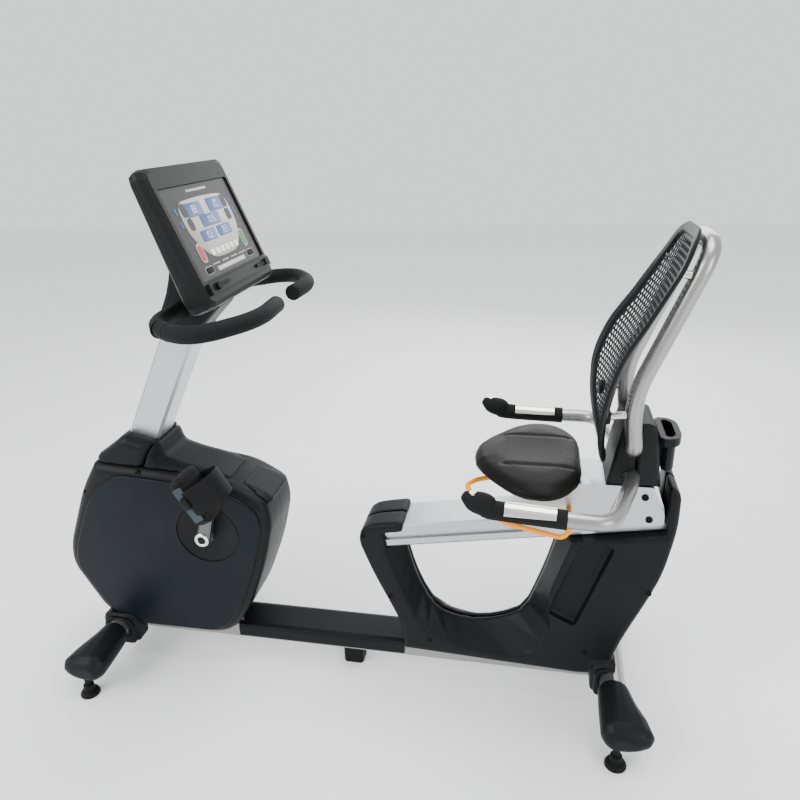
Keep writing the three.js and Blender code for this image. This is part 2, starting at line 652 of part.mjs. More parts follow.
function rearCover(name, side) {
  const seam = (side * GAP) / 2;
  const outside = roundedPlate(REAR_CORNERS, side * REAR.half, seam, 10);
  const inside = roundedPlate(REAR_CORNERS, side * (REAR.half - REAR.wall), -side, 6, REAR.wall);
  const hollow = inside.subtract(windowCut(side, REAR.wall));
  const pocketBlock = (y0, y1, inward) => {
    return plate(outline(POCKET_CORNERS, inward), ...sorted(side * y0, side * y1));
  };
  const pocketWalls = pocketBlock(54, 74, -4).intersect(outside);
  const shell = cut(cut(outside, hollow).add(pocketWalls), pocketBlock(58, 90, 0), windowCut(side, 0));
  const boot = join(
    plate(bootEdge(BEAM.rear, BOOT.big, 0), ...sorted(side * 44, side * 88)),
    plate(bootEdge(BEAM.rear, BOOT.small, 0), ...sorted(side * 87, side * 102)),
  );
  const behindTube = box(BEAM.rear + 8, 800, -200, 200, 0, 146.5);
  const crossTube = barY(BEAM.rear, STABILISER.height, STABILISER.radius + GAP, -200, 200);
  const beam = box(0, 900, -BEAM.half - 1, BEAM.half + 1, 0, BEAM.high + 1);
  const rail = railSolid(1, -1, RAIL.length + 1);
  const body = taperToFront(shell).add(cut(boot, behindTube));
  return part(name, cut(body, beam, crossTube, rail, railPosts(1)), BLACK_PLASTIC());
}

// The covers narrow towards the front of the loop.
function taperToFront(body) {
  const start = 480;
  return body.warp((p) => {
    const ahead = Math.max(0, start - p[0]) / start;
    p[1] *= 1 - 0.22 * ahead;
  });
}

// The flared window through one cover half, grown about its middle by a wall thickness.
function windowCut(side, wall) {
  const middle = new THREE.Vector2(290, 300);
  const count = outline(WINDOW_CORNERS).length;
  const spread = (corners) => {
    const points = resample(outline(corners), count, new THREE.Vector2(corners[0][0], corners[0][1]));
    return points.map((p) => p.sub(middle).multiplyScalar(1 + wall / 100).add(middle));
  };
  const level = spread(WINDOW_CORNERS);
  const flared = spread(DISH_CORNERS);
  const at = (points, y) => points.map((p) => V(p.x, side * y, p.y));
  return loft([at(level, -2), at(level, 14), at(flared, REAR.half - 4), at(flared, REAR.half + 12)]);
}

// The same closed outline with evenly spread points, starting nearest to a given point.
function resample(points, count, start) {
  const lengths = points.map((p, i) => p.distanceTo(points[(i + 1) % points.length]));
  const total = lengths.reduce((a, b) => a + b, 0);
  const at = (s) => {
    let rest = ((s % total) + total) % total;
    let i = 0;
    while (rest > lengths[i]) rest -= lengths[i++];
    return points[i].clone().lerp(points[(i + 1) % points.length], rest / lengths[i]);
  };
  let best = 0;
  for (let s = 0; s < total; s += total / 400) {
    if (at(s).distanceTo(start) < at(best).distanceTo(start)) best = s;
  }
  return Array.from({ length: count }, (_, i) => at(best + (i * total) / count));
}

// Section of the rail: stepped sides, with a channel along each side for the carriage rollers.
function railSection(clearance = 0) {
  const h = RAIL.half + clearance;
  const top = clearance;
  const low = -RAIL.height - clearance;
  if (clearance > 0) return outline([[-h, low], [h, low], [h, top], [-h, top]]);
  const half = [
    [h - 3, low], [h, low + 4], [h, -38], [h - 7, -36], [h - 7, -27], [h, -25], [h, -3], [h - 3, top],
  ];
  const other = half.map(([a, b]) => [-a, b]).reverse();
  return outline([...half, ...other]);
}

// A bar along the rail's slope, from a section of [across, above the rail's top].
function alongRail(section, from, to) {
  const t = rad(RAIL.tilt);
  const along = V(Math.cos(t), 0, Math.sin(t));
  const up = V(-Math.sin(t), 0, Math.cos(t));
  const ringAt = (s) => section.map((p) => {
    return V(RAIL.x, p.x, RAIL.z).addScaledVector(along, s).addScaledVector(up, p.y);
  });
  return loft([ringAt(from), ringAt(to)]);
}

function railSolid(clearance = 0, from = 0, to = RAIL.length) {
  return alongRail(railSection(clearance), from, to);
}

function seatRail() {
  const inside = outline([[-42, -51], [42, -51], [42, -6], [-42, -6]]);
  return part("seat_rail", cut(railSolid(), alongRail(inside, -5, RAIL.length + 5)), ALUMINIUM());
}

add(rearCover("rear_cover_left", -1), rearCover("rear_cover_right", 1), seatRail());

// ---------------------------------------------------------------- seat carriage and what it carries
function seatCarriage() {
  const { half, wall, top } = CARRIAGE;
  const lift = 20;
  const side = outline([
    [405, railLow(405) + lift], [405, 558, 10], [520, top, 20], [674, top, 4],
    [680, top - 20, 4], [701, 544, 6], [701, railLow(700) + lift],
  ]);
  const body = plate(side, -half, half);
  const channel = railSolid(1.2, -40, RAIL.length + 40);
  const innerSide = outline([[380, 300], [380, top - wall], [720, top - wall], [720, 300]]);
  const inner = plate(innerSide, -half + wall, half - wall);
  const stem = box(607, 652, -18, 18, top - wall - 1, 742);
  const web = box(440, 446, -half + 1, half - 1, railTop(446) + 3, top);
  const pan = box(380, 525, -50, 50, top - 6, top);
  const bar = handlePath();
  const handleBore = tube(bar, HANDLE.radius + GAP, 70);
  const leverBore = barY(500, 545, 6, -80, -20, 20);
  const carriage = join(cut(body, inner, channel), stem, web, pan);
  return part("seat_carriage", cut(carriage, handleBore, leverBore), ALUMINIUM());
}

// The side handles are one tube that passes through the column.
const handlePath = () => {
  const left = [V(345, -247, 640), V(488, -253, 633), V(570, -256, 632), V(630, -66, 631)];
  return [...left, ...mirrorY(left).reverse()];
};

function seatCushion() {
  const half = [[284, 48, 34], [345, 132, 60], [402, 184, 40], [474, 182, 60], [526, 108, 60]];
  const other = half.map(([x, y, radius]) => [x, -y, radius]).reverse();
  const plan = outline([...half, ...other]);
  const ringAt = (z, k) => plan.map((p) => V(415 + (p.x - 415) * k, p.y * k, z));
  const low = CARRIAGE.top + GAP;
  const rings = [
    ringAt(low, 0.62), ringAt(low + 7, 0.9), ringAt(low + 20, 1),
    ringAt(SEAT_TOP - 12, 0.965), ringAt(SEAT_TOP - 2, 0.86), ringAt(SEAT_TOP + 3, 0.6),
  ];
  return part("seat_cushion", loft(rings), VINYL());
}

const COLUMN = { low: CARRIAGE.top + GAP, high: 755, seam: 632 };

function columnCover(name, corners, hollowCorners) {
  const body = roundedPlate(corners, -COLUMN_HALF, 0, 6).add(roundedPlate(corners, COLUMN_HALF, 0, 6));
  const hollow = plate(outline(hollowCorners), -COLUMN_HALF + 4, COLUMN_HALF - 4);
  const handles = tube(handlePath(), HANDLE.radius + GAP, 70);
  const backTube = tube(backPath(), TUBE_RADIUS + GAP, 60);
  return part(name, cut(body, hollow, handles, backTube), CHARCOAL());
}

// The backrest hoop springs from the column, rises each side and crosses behind the backrest.
const backPath = () => {
  const leg = [V(622, -19, 700), V(622, -85, 700), V(608, -85, 822), V(725, -85, 1122)];
  return [...leg, ...mirrorY(leg).reverse()];
};

// Pegs from the hoop to the back of the backrest, two on each side.
const backPegs = (grow) => [-1, 1].flatMap((side) => [
  rod(V(609, side * 85, 786), V(567, side * 85, 780), 8 + grow),
  rod(V(698, side * 85, 1066), V(668, side * 85, 1072), 8 + grow),
]);

function backrestFrame() {
  const bore = tube(backPath(), TUBE_RADIUS - 3, 60, 6);
  const hoop = join(tube(backPath(), TUBE_RADIUS, 60), ...backPegs(0));
  return part("backrest_frame", cut(hoop, bore), SILVER_PAINT());
}

// The moulded backrest: each row is [x, z, half-width, how far the sides wrap forwards].
const BACK_ROWS = [
  [566, 655, 34, 2], [563, 672, 66, 5], [561, 700, 95, 11], [561, 750, 135, 20], [568, 800, 160, 28],
  [574, 829, 166, 31], [583, 866, 160, 31], [599, 915, 149, 28], [632, 978, 135, 24], [657, 1036, 125, 17],
  [675, 1083, 114, 9], [688, 1123, 90, 4], [697, 1139, 60, 3], [703, 1149, 30, 1],
];
const BACK_THICK = 12;

function backrestShell() {
  const across = 8;
  const rings = BACK_ROWS.map(([x, z, half, wrap], i) => {
    const before = BACK_ROWS[Math.max(0, i - 1)];
    const after = BACK_ROWS[Math.min(BACK_ROWS.length - 1, i + 1)];
    const up = V(after[0] - before[0], 0, after[1] - before[1]).normalize();
    const back = V(up.z, 0, -up.x);
    const at = (k, depth) => {
      const forwards = wrap * k * k - BACK_THICK * depth * (1 - 0.35 * k * k);
      return V(x, k * half, z).addScaledVector(back, -forwards);
    };
    const front = Array.from({ length: across + 1 }, (_, j) => at((2 * j) / across - 1, 0));
    const rear = Array.from({ length: across + 1 }, (_, j) => at(1 - (2 * j) / across, 1));
    return [...front, ...rear];
  });
  return part("backrest_shell", cut(loft(rings), ...backPegs(GAP)), CHARCOAL());
}

function sideHandles() {
  const bore = tube(handlePath(), HANDLE.radius - 3, 70, 6);
  return part("side_handle_tube", cut(tube(handlePath(), HANDLE.radius, 70), bore), SILVER_PAINT());
}

// A hand grip: a sleeve over the tube and an upswept tip that ends in a switch panel.
const TIP = { x: 306, z: 676, turn: 84 };
const tipAxis = V(-Math.cos(rad(TIP.turn)), 0, Math.sin(rad(TIP.turn)));

function grip(name, side) {
  const y = side * HANDLE.y;
  const rings = [
    [487, 633.1, 19.5, 0], [350, 639.8, 19.5, 3], [330, 650, 23, 10], [309, 656, 21, 14],
    [296, 663, 15, 28], [286, 669, 8, 50],
  ].map(([x, z, r, turn]) => {
    const outward = side * (x - 345) * 0.042;
    const upright = V(Math.sin(rad(turn)), 0, Math.cos(rad(turn)));
    return ellipse(V(x, y + outward, z), V(0, 1, 0), upright, r, r, 16);
  });
  const bore = tube(handlePath(), HANDLE.radius + GAP, 70);
  const well = handleSwitchBody(side, -9, 4, 7.6);
  const panel = handleSwitchBody(side, 0, 30, 34);
  return part(name, cut(loft(rings), bore, panel, well), RUBBER());
}

// A round bar along the axis of a grip's tip, between two distances from its panel.
function handleSwitchBody(side, low, high, radius) {
  const centre = V(TIP.x, side * HANDLE.y, TIP.z);
  const at = (d) => centre.clone().addScaledVector(tipAxis, d);
  return rod(at(low), at(high), radius, 16);
}

function contactPlate(name, side) {
  const at = (x) => V(x, side * (HANDLE.y + (x - 345) * 0.042), 640 - (x - 345) * 0.049);
  const outer = rod(at(368), at(466), 21.2, 28);
  const inner = rod(at(360), at(475), 20.1, 28);
  const keep = box(300, 520, -300, 300, 641, 700);
  return part(name, cut(outer, inner).intersect(keep), STEEL());
}

function handleSwitch(name, side) {
  return part(name, handleSwitchBody(side, -7, 1.5, 7), STEEL());
}

function cupHolder() {
  const corners = [[676, -57, 8], [706, -57, 14], [721, -36, 14], [721, 36, 14], [706, 57, 14], [676, 57, 8]];
  const rim = prism(outline(corners), 704, 723);
  const wall = prism(outline(corners, 9), 645, 705);
  const inside = prism(outline(corners, 12), 649, 730);
  return part("cup_holder", cut(join(rim, wall), inside, columnEnvelope()), BLACK_PLASTIC());
}

// The seat release: a bent rod that pivots in the left side of the carriage.
function seatLever() {
  const path = [
    V(500, -44, 545), V(502, -139, 543), V(488, -139, 518), V(354, -118, 534),
    V(272, -80, 596), V(296, -44, 594), V(330, -28, 593),
  ];
  return part("seat_lever", tube(path, 5.5, 18, 8), ORANGE());
}

// Side views of the two column covers and of the room inside each.
const seamX = COLUMN.seam;
const footZ = COLUMN.low;
const columnFront = [[574, footZ], [598, 746, 8], [608, 755, 6], [seamX, 755], [seamX, footZ]];
const insideFront = [[581, footZ - 5], [603, 740], [611, 750], [seamX + 5, 750], [seamX + 5, footZ - 5]];
const columnRear = [[seamX + GAP, footZ], [seamX + GAP, 755], [658, 755, 6], [668, 744, 8], [686, footZ]];
const insideRear = [[seamX - 5, footZ - 5], [seamX - 5, 750], [655, 750], [663, 741], [681, footZ - 5]];
const columnEnvelope = () => plate(outline([[560, 600], [590, 770], [669, 770], [686, 600]], -GAP), -70, 70);

add(seatCarriage(), seatCushion());
add(columnCover("column_front_cover", columnFront, insideFront));
add(columnCover("column_rear_cover", columnRear, insideRear));
add(backrestFrame(), backrestShell(), sideHandles(), cupHolder(), seatLever());
for (const [word, side] of [["left", -1], ["right", 1]]) {
  add(grip(`${word}_grip`, side));
  add(contactPlate(`${word}_pulse_contact`, side));
  add(handleSwitch(`${word}_handle_button`, side));
}

// ---------------------------------------------------------------- handlebar, neck and console
const barPath = () => {
  const left = [
    V(-136, -46, 993), V(-130, -167, 992), V(-219, -292, 987), V(-350, -200, 981), V(-360, -60, 979),
  ];
  return [...left, ...mirrorY(left).reverse()];
};

function handlebar() {
  return part("handlebar", tube(barPath(), BAR_RADIUS, BAR_BEND), FOAM());
}

function consoleNeck() {
  const corners = [
    [-443, 905.5, 4], [-430, 950, 20], [-396, 1012, 30], [-374, 1090, 20],
    [-330, 1110, 6], [-270, 985, 10], [-326, 930, 10], [-340, 905.5, 4],
  ];
  const body = roundedPlate(corners, -48, 0, 10).add(roundedPlate(corners, 48, 0, 10));
  const bar = tube(barPath(), BAR_RADIUS + 0.8, BAR_BEND);
  return part("console_neck", cut(body, bar, consoleEnvelope()), BLACK_PLASTIC());
}

// Console pieces are laid out with x out of the display, y across and z up the display.
const consoleTurn = new THREE.Matrix4()
  .makeTranslation(CONSOLE.x, 0, CONSOLE.z)
  .multiply(new THREE.Matrix4().makeRotationY(-rad(CONSOLE.tilt)));

const displayEdge = (half, low, high, radius) =>
  outline([[-half, low, radius], [half, low, radius], [half, high, radius], [-half, high, radius]]);

// A block across the display plane, from depth x0 to x1.
function slab(edge, x0, x1) {
  return loft([edge.map((p) => V(x0, p.x, p.y)), edge.map((p) => V(x1, p.x, p.y))]);
}

// Everything the console fills, grown a little, for trimming the neck.
function consoleEnvelope() {
  const edge = displayEdge(CONSOLE.half + 2, CONSOLE.bottom - 2, CONSOLE.top + 2, 20);
  const back = edge.map((p) => V(depthAt(BACK_DEPTH.top, BACK_DEPTH.bottom, p.y) - GAP, p.x, p.y));
  return loft([back, edge.map((p) => V(40, p.x, p.y))]).transform(consoleTurn.elements);
}

function consolePart(name, body, material) {
  const mesh = part(name, body, material);
  mesh.position.set(CONSOLE.x, 0, CONSOLE.z);
  mesh.rotation.y = -rad(CONSOLE.tilt);
  return mesh;
}

const KEYS = [
  { name: "start_key", y: 104, z: -43, w: 8, h: 17, color: 0x1fa05a },
  { name: "stop_key", y: -104, z: -43, w: 8, h: 17, color: 0xc8303e },
  { name: "resistance_up_key", y: -93, z: 47, w: 11, h: 14, color: 0x1b1c1f },
  { name: "resistance_down_key", y: -89, z: 17, w: 10, h: 13, color: 0x1b1c1f },
  { name: "time_up_key", y: 93, z: 47, w: 11, h: 14, color: 0x1b1c1f },
  { name: "time_down_key", y: 89, z: 17, w: 10, h: 13, color: 0x1b1c1f },
];
const keyEdge = (key, grow) => {
  const { y, z, w, h } = key;
  const a = w + grow;
  const b = h + grow;
  return outline([[y - a, z - b, 5], [y + a, z - b, 5], [y + a, z + b, 5], [y - a, z + b, 5]]);
};

// A round piece about a page clip's pivot.
function clipDisc(side, radius, x0, x1) {
  const edge = Array.from({ length: 12 }, (_, i) => {
    const t = (i / 12) * 2 * Math.PI;
    return new THREE.Vector2(side * 128 + radius * Math.cos(t), -114 + radius * Math.sin(t));
  });
  return slab(edge, x0, x1);
}

// Depth of a console layer, which grows from the top of the display to the bottom.
const depthAt = (atTop, atBottom, z) => {
  const share = (CONSOLE.top - z) / (CONSOLE.top - CONSOLE.bottom);
  return -(atTop + (atBottom - atTop) * share);
};

function consoleShells() {
  const { half, top, bottom } = CONSOLE;
  const ringAt = (inward, depth) => {
    const edge = displayEdge(half - inward, bottom + inward, top - inward, 18);
    return edge.map((p) => V(depth(p.y), p.x, p.y));
  };
  const flatAt = (x) => () => x;
  const seam = (p) => depthAt(SEAM_DEPTH.top, SEAM_DEPTH.bottom, p);
  const front = loft([
    ringAt(0, seam), ringAt(0, flatAt(-12)), ringAt(3, flatAt(0)), ringAt(12, flatAt(4)),
  ]);
  const hollow = slab(displayEdge(half - 6, bottom + 6, top - 6, 14), -90, -9);
  const well = slab(displayEdge(155.5, -98, 97, 4), -3.6, 20);
  const ledge = slab(displayEdge(158, -126, -103, 3), 2, 12);
  const pins = join(...[-1, 1].map((side) => clipDisc(side, 3.4, 8, 30)));
  const frontShell = cut(join(cut(front, hollow, well), ledge), pins);
  const behind = (extra) => (p) => seam(p) - extra;
  const deep = (share) => (p) => {
    const full = depthAt(BACK_DEPTH.top, BACK_DEPTH.bottom, p);
    return seam(p) + (full - seam(p)) * share;
  };
  const back = loft([
    ringAt(34, deep(1)), ringAt(16, deep(0.9)), ringAt(3, deep(0.5)), ringAt(0, behind(GAP)),
  ]);
  const backHollow = slab(displayEdge(half - 36, bottom + 36, top - 36, 10), -34, 10);
  add(consolePart("console_front", frontShell, CHARCOAL()));
  add(consolePart("console_back", cut(back, backHollow), CHARCOAL()));
  const panel = slab(displayEdge(155, -97.5, 96.5, 4), -3, 0);
  const holes = KEYS.map((key) => slab(keyEdge(key, GAP), -10, 10));
  add(consolePart("display_panel", cut(panel, ...holes), paint(0x3b3c3e, 0.35)));
}

function consoleKeys() {
  for (const key of KEYS) {
    add(consolePart(key.name, slab(keyEdge(key, 0), -2.7, 1.6), paint(key.color, 0.4)));
  }
}

// A page clip lies along the ledge and swings up in front of the display.
function pageClip(name, side) {
  const arm = outline([
    [side * 136, -118, 3], [side * 136, -110, 3], [side * 74, -110, 3], [side * 74, -118, 3],
  ]);
  const hub = clipDisc(side, 8, 12.4, 19);
  const pin = clipDisc(side, 2.6, 8.6, 13);
  return consolePart(name, join(slab(arm, 12.6, 16), hub, pin), RUBBER());
}

add(handlebar(), consoleNeck());
consoleShells();
consoleKeys();
add(pageClip("page_clip_left", -1), pageClip("page_clip_right", 1));

export default bike;
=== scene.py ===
"""Looks of a recumbent exercise bike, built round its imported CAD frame.

Lengths are in the drawing's millimetres, and at() turns a point into the frame's metres.
"""

import math

import bmesh
import bpy
from mathutils import Matrix, Vector


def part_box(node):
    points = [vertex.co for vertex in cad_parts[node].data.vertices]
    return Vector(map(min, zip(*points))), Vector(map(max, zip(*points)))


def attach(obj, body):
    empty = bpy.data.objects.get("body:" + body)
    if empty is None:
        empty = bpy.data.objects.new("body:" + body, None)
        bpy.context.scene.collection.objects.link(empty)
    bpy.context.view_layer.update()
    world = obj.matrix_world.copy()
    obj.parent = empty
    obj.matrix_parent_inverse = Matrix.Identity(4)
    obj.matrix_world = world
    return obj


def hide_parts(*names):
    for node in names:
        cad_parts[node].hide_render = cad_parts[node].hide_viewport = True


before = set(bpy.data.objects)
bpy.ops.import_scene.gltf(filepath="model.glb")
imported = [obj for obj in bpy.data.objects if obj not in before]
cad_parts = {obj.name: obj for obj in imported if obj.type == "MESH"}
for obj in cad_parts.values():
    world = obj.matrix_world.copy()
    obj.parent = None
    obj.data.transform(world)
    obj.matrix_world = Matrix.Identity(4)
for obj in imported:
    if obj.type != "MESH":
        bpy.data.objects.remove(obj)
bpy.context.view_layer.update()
MM = 0.001
SIDES = (("left", -1), ("right", 1))
CREASE = 34  # degrees between faces from which a kept node's edge is rounded


def middle(node):
    low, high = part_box(node)
    return (low + high) / 2


# The crank axle is drawn at X = -362, which ties the drawing's X to the frame's.
CRANK_X, CRANK_Z = -362, middle("crank_axle").z / MM
SHIFT = middle("crank_axle").x - CRANK_X * MM


def at(x, y, z):
    return Vector((x * MM + SHIFT, y * MM, z * MM))


# ---------------------------------------------------------------- camera, light and floor
def make_camera():
    """The photo's camera. Angles are in radians, and the pitch is downwards."""
    yaw, pitch, roll = -0.207, 0.387, -0.036
    across, ahead = math.sin(yaw) * math.cos(pitch), math.cos(yaw) * math.cos(pitch)
    forward = Vector((across, ahead, -math.sin(pitch)))
    level = Vector((math.cos(yaw), -math.sin(yaw), 0))
    upright = level.cross(forward)
    right = level * math.cos(roll) + upright * math.sin(roll)
    up = upright * math.cos(roll) - level * math.sin(roll)
    data = bpy.data.cameras.new("camera")
    data.lens = 31.016
    data.sensor_width = 36
    data.clip_end = 50
    camera = bpy.data.objects.new("camera", data)
    bpy.context.scene.collection.objects.link(camera)
    camera.matrix_world = Matrix((right, up, -forward)).transposed().to_4x4()
    camera.location = at(414.3, -1418.9, 1351.8)
    bpy.context.scene.camera = camera


def area_light(name, place, target, size, power):
    data = bpy.data.lights.new(name, "AREA")
    data.shape = "RECTANGLE"
    data.size, data.size_y = size
    data.energy = power
    lamp = bpy.data.objects.new(name, data)
    bpy.context.scene.collection.objects.link(lamp)
    lamp.location = place
    lamp.rotation_euler = (Vector(target) - Vector(place)).to_track_quat("-Z", "Y").to_euler()


def make_studio():
    world = bpy.data.worlds.new("studio")
    bpy.context.scene.world = world
    world.use_nodes = True
    background = world.node_tree.nodes["Background"]
    background.inputs["Color"].default_value = (0.97, 0.985, 1, 1)
    background.inputs["Strength"].default_value = 1.25
    area_light("window_light", (-2.6, -2.4, 2.6), (-0.2, 0, 0.6), (2.4, 2.4), 120)
    area_light("top_light", (0.6, 0.2, 3.4), (0, 0, 0.5), (2.6, 1.6), 80)
    area_light("fill_light", (2.8, -2.2, 1.4), (0.3, 0, 0.6), (1.6, 1.8), 45)
    area_light("back_light", (0.5, 3.0, 1.8), (0, 0, 0.6), (3.0, 1.6), 50)
    bpy.ops.mesh.primitive_plane_add(size=16)
    floor = bpy.context.object
    floor.name = "floor"
    paint = surface("floor_paint", (0.93, 0.93, 0.93), 0.7, vary=0.01, grain=40, bump=0.01)
    floor.data.materials.append(paint)


# ---------------------------------------------------------------- materials
def blank(name):
    material = bpy.data.materials.new(name)
    material.use_nodes = True
    tree = material.node_tree
    return material, tree, tree.nodes["Principled BSDF"]


def mapped(tree, stretch=(1, 1, 1), turn=0.0):
    coordinates = tree.nodes.new("ShaderNodeTexCoord")
    mapping = tree.nodes.new("ShaderNodeMapping")
    mapping.inputs["Scale"].default_value = stretch
    mapping.inputs["Rotation"].default_value = (0, turn, 0)
    tree.links.new(coordinates.outputs["Object"], mapping.inputs["Vector"])
    return mapping.outputs["Vector"]


def noise(tree, vector, scale, detail):
    node = tree.nodes.new("ShaderNodeTexNoise")
    node.inputs["Scale"].default_value = scale
    node.inputs["Detail"].default_value = detail
    node.inputs["Roughness"].default_value = 0.55
    tree.links.new(vector, node.inputs["Vector"])
    return node.outputs["Fac"]


def ramp(tree, value, low, high, start=0.3, end=0.7):
    node = tree.nodes.new("ShaderNodeValToRGB")
    node.color_ramp.elements[0].position = start
    node.color_ramp.elements[1].position = end
    node.color_ramp.elements[0].color = (*low, 1)
    node.color_ramp.elements[1].color = (*high, 1)
    tree.links.new(value, node.inputs["Fac"])
    return node.outputs["Color"]


def spread(tree, value, low, high):
    node = tree.nodes.new("ShaderNodeMapRange")
    node.inputs["From Min"].default_value = 0.3
    node.inputs["From Max"].default_value = 0.7
    node.inputs["To Min"].default_value = low
    node.inputs["To Max"].default_value = high
    tree.links.new(value, node.inputs["Value"])
    return node.outputs["Result"]


def bumped(tree, shader, height, strength, distance):
    node = tree.nodes.new("ShaderNodeBump")
    node.inputs["Strength"].default_value = strength
    node.inputs["Distance"].default_value = distance
    tree.links.new(height, node.inputs["Height"])
    tree.links.new(node.outputs["Normal"], shader.inputs["Normal"])


def surface(name, tone, rough, metal=0.0, vary=0.14, grain=700.0, bump=0.15, stretch=(1, 1, 1), turn=0.0,
            shine=0.5):
    """A finish with slow changes of tone and polish, and a fine grain that stretch and turn can brush."""
    material, tree, shader = blank(name)
    vector = mapped(tree, stretch, turn)
    patches = noise(tree, mapped(tree), 7.0, 5.0)
    fine = noise(tree, vector, grain, 4.0)
    low = tuple(c * (1 - vary) for c in tone)
    high = tuple(min(1, c * (1 + vary)) for c in tone)
    tree.links.new(ramp(tree, patches, low, high), shader.inputs["Base Color"])
    tree.links.new(spread(tree, fine, rough - 0.05, rough + 0.07), shader.inputs["Roughness"])
    shader.inputs["Metallic"].default_value = metal
    shader.inputs["Specular IOR Level"].default_value = shine
    bumped(tree, shader, fine, bump, 0.0004)
    return material


def leather(name, tone, rough):
    """Vinyl with a pebbled grain of small cells."""
    material, tree, shader = blank(name)
    vector = mapped(tree)
    cells = tree.nodes.new("ShaderNodeTexVoronoi")
    cells.inputs["Scale"].default_value = 420
    tree.links.new(vector, cells.inputs["Vector"])
    patches = noise(tree, vector, 9.0, 4.0)
    low = tuple(c * 0.8 for c in tone)
    high = tuple(c * 1.25 for c in tone)
    tree.links.new(ramp(tree, patches, low, high), shader.inputs["Base Color"])
    pebble = cells.outputs["Distance"]
    tree.links.new(spread(tree, pebble, rough + 0.06, rough - 0.05), shader.inputs["Roughness"])
    shader.inputs["Specular IOR Level"].default_value = 0.1
    bumped(tree, shader, pebble, 0.22, 0.0005)
    return material


def flecked(name, tone, fleck, rough, metal):
    """Metallic paint: a fine sparkle of light and dark flakes under a clear coat."""
    material, tree, shader = blank(name)
    vector = mapped(tree)
    flakes = noise(tree, vector, 2600.0, 1.0)
    tree.links.new(ramp(tree, flakes, tone, fleck, 0.42, 0.58), shader.inputs["Base Color"])
    patches = noise(tree, vector, 6.0, 4.0)
    tree.links.new(spread(tree, patches, rough - 0.04, rough + 0.06), shader.inputs["Roughness"])
    shader.inputs["Metallic"].default_value = metal
    shader.inputs["Coat Weight"].default_value = 0.4
    shader.inputs["Coat Roughness"].default_value = 0.12
    bumped(tree, shader, flakes, 0.05, 0.0002)
    return material


RAIL_TILT, MAST_TILT = math.radians(9.4), 0.476
ALONG_X, ALONG_Z = (0.02, 1, 1), (1, 1, 0.02)  # stretches that brush a grain in one direction
DULL = 0.13  # how strongly the dark plastics mirror the studio


def make_materials():
    """The record's finishes by slot, and tints for details that share a slot."""
    def dark(name, tone, rough, vary, grain, bump, shine=DULL):
        return surface(name, tone, rough, vary=vary, grain=grain, bump=bump, shine=shine)

    def key(name, tone, vary):
        return dark(name, tone, 0.35, vary, 600, 0.04, 0.2)

    def ink(name, tone, rough, vary, grain=500):
        return surface(name, tone, rough, vary=vary, grain=grain, bump=0.02)

    finishes = {
        "black_plastic": dark("black_plastic", (0.0045, 0.005, 0.0055), 0.42, 0.2, 1500, 0.12),
        "housing_panel": dark("housing_panel", (0.0035, 0.0058, 0.0085), 0.38, 0.14, 1700, 0.08),
        "charcoal_plastic": dark("charcoal_plastic", (0.0075, 0.0078, 0.008), 0.45, 0.16, 1300, 0.12),
        "display_glass": dark("display_glass", (0.011, 0.0115, 0.012), 0.3, 0.08, 300, 0.02),
        "silver_paint": flecked("silver_paint", (0.2, 0.2, 0.195), (0.4, 0.4, 0.39), 0.3, 0.9),
        "aluminium": surface("aluminium", (0.45, 0.46, 0.47), 0.3, 0.95, 0.06, 900, 0.1, ALONG_X, RAIL_TILT),
        "steel": surface("steel", (0.72, 0.71, 0.68), 0.2, 1.0, 0.06, 700, 0.03),
        "rubber": dark("rubber", (0.0045, 0.0045, 0.005), 0.58, 0.2, 1100, 0.25),
        "foam_sleeve": dark("foam_sleeve", (0.006, 0.0062, 0.0065), 0.7, 0.2, 900, 0.5),
        "vinyl": leather("vinyl", (0.0035, 0.0035, 0.0032), 0.46),
        "orange_paint": dark("orange_paint", (0.85, 0.27, 0.0), 0.42, 0.06, 500, 0.05, 0.25),
        "red_key": key("red_key", (0.42, 0.012, 0.03), 0.08),
        "green_key": key("green_key", (0.008, 0.2, 0.06), 0.08),
        "dark_key": key("dark_key", (0.006, 0.006, 0.008), 0.1),
    }
    tints = {
        "strap": dark("strap", (0.035, 0.048, 0.058), 0.5, 0.12, 800, 0.2, 0.15),
        "display_face": ink("display_face", (0.34, 0.32, 0.28), 0.3, 0.04, 300),
        "window_blue": dark("window_blue", (0.04, 0.09, 0.24), 0.25, 0.1, 300, 0.02, 0.15),
        "dark_steel": surface("dark_steel", (0.12, 0.12, 0.12), 0.32, 0.9, 0.1, 700, 0.05),
        "ink_white": ink("ink_white", (0.8, 0.81, 0.8), 0.4, 0.04),
        "ink_grey": ink("ink_grey", (0.3, 0.3, 0.29), 0.4, 0.06),
        "ink_blue": ink("ink_blue", (0.02, 0.08, 0.5), 0.35, 0.06),
        "recess_black": dark("recess_black", (0.0025, 0.0025, 0.003), 0.6, 0.2, 900, 0.1, 0.15),
        "mast_metal": surface("mast_metal", (0.52, 0.53, 0.54), 0.34, 0.92, 0.04, 900, 0.08, ALONG_Z,
                              MAST_TILT),
    }
    return finishes, tints


# ---------------------------------------------------------------- outlines
def inset_corners(corners, distance):
    """Corners moved inwards, with each straight edge kept parallel to where it was."""
    points = [Vector(c[:2]) for c in corners]
    count = len(points)
    turn = 1 if sum(points[i - 1].cross(points[i]) for i in range(count)) > 0 else -1
    moved = []
    for i, corner in enumerate(corners):
        first = (points[i] - points[i - 1]).normalized()
        second = (points[(i + 1) % count] - points[i]).normalized()
        edge = Vector((-first.y, first.x)) * turn
        normal = Vector((-first.y - second.y, first.x + second.x)).normalized() * turn
        reach = distance / max(0.45, normal.dot(edge))
        moved.append((points[i] + normal * reach, corner[2]))
    return moved


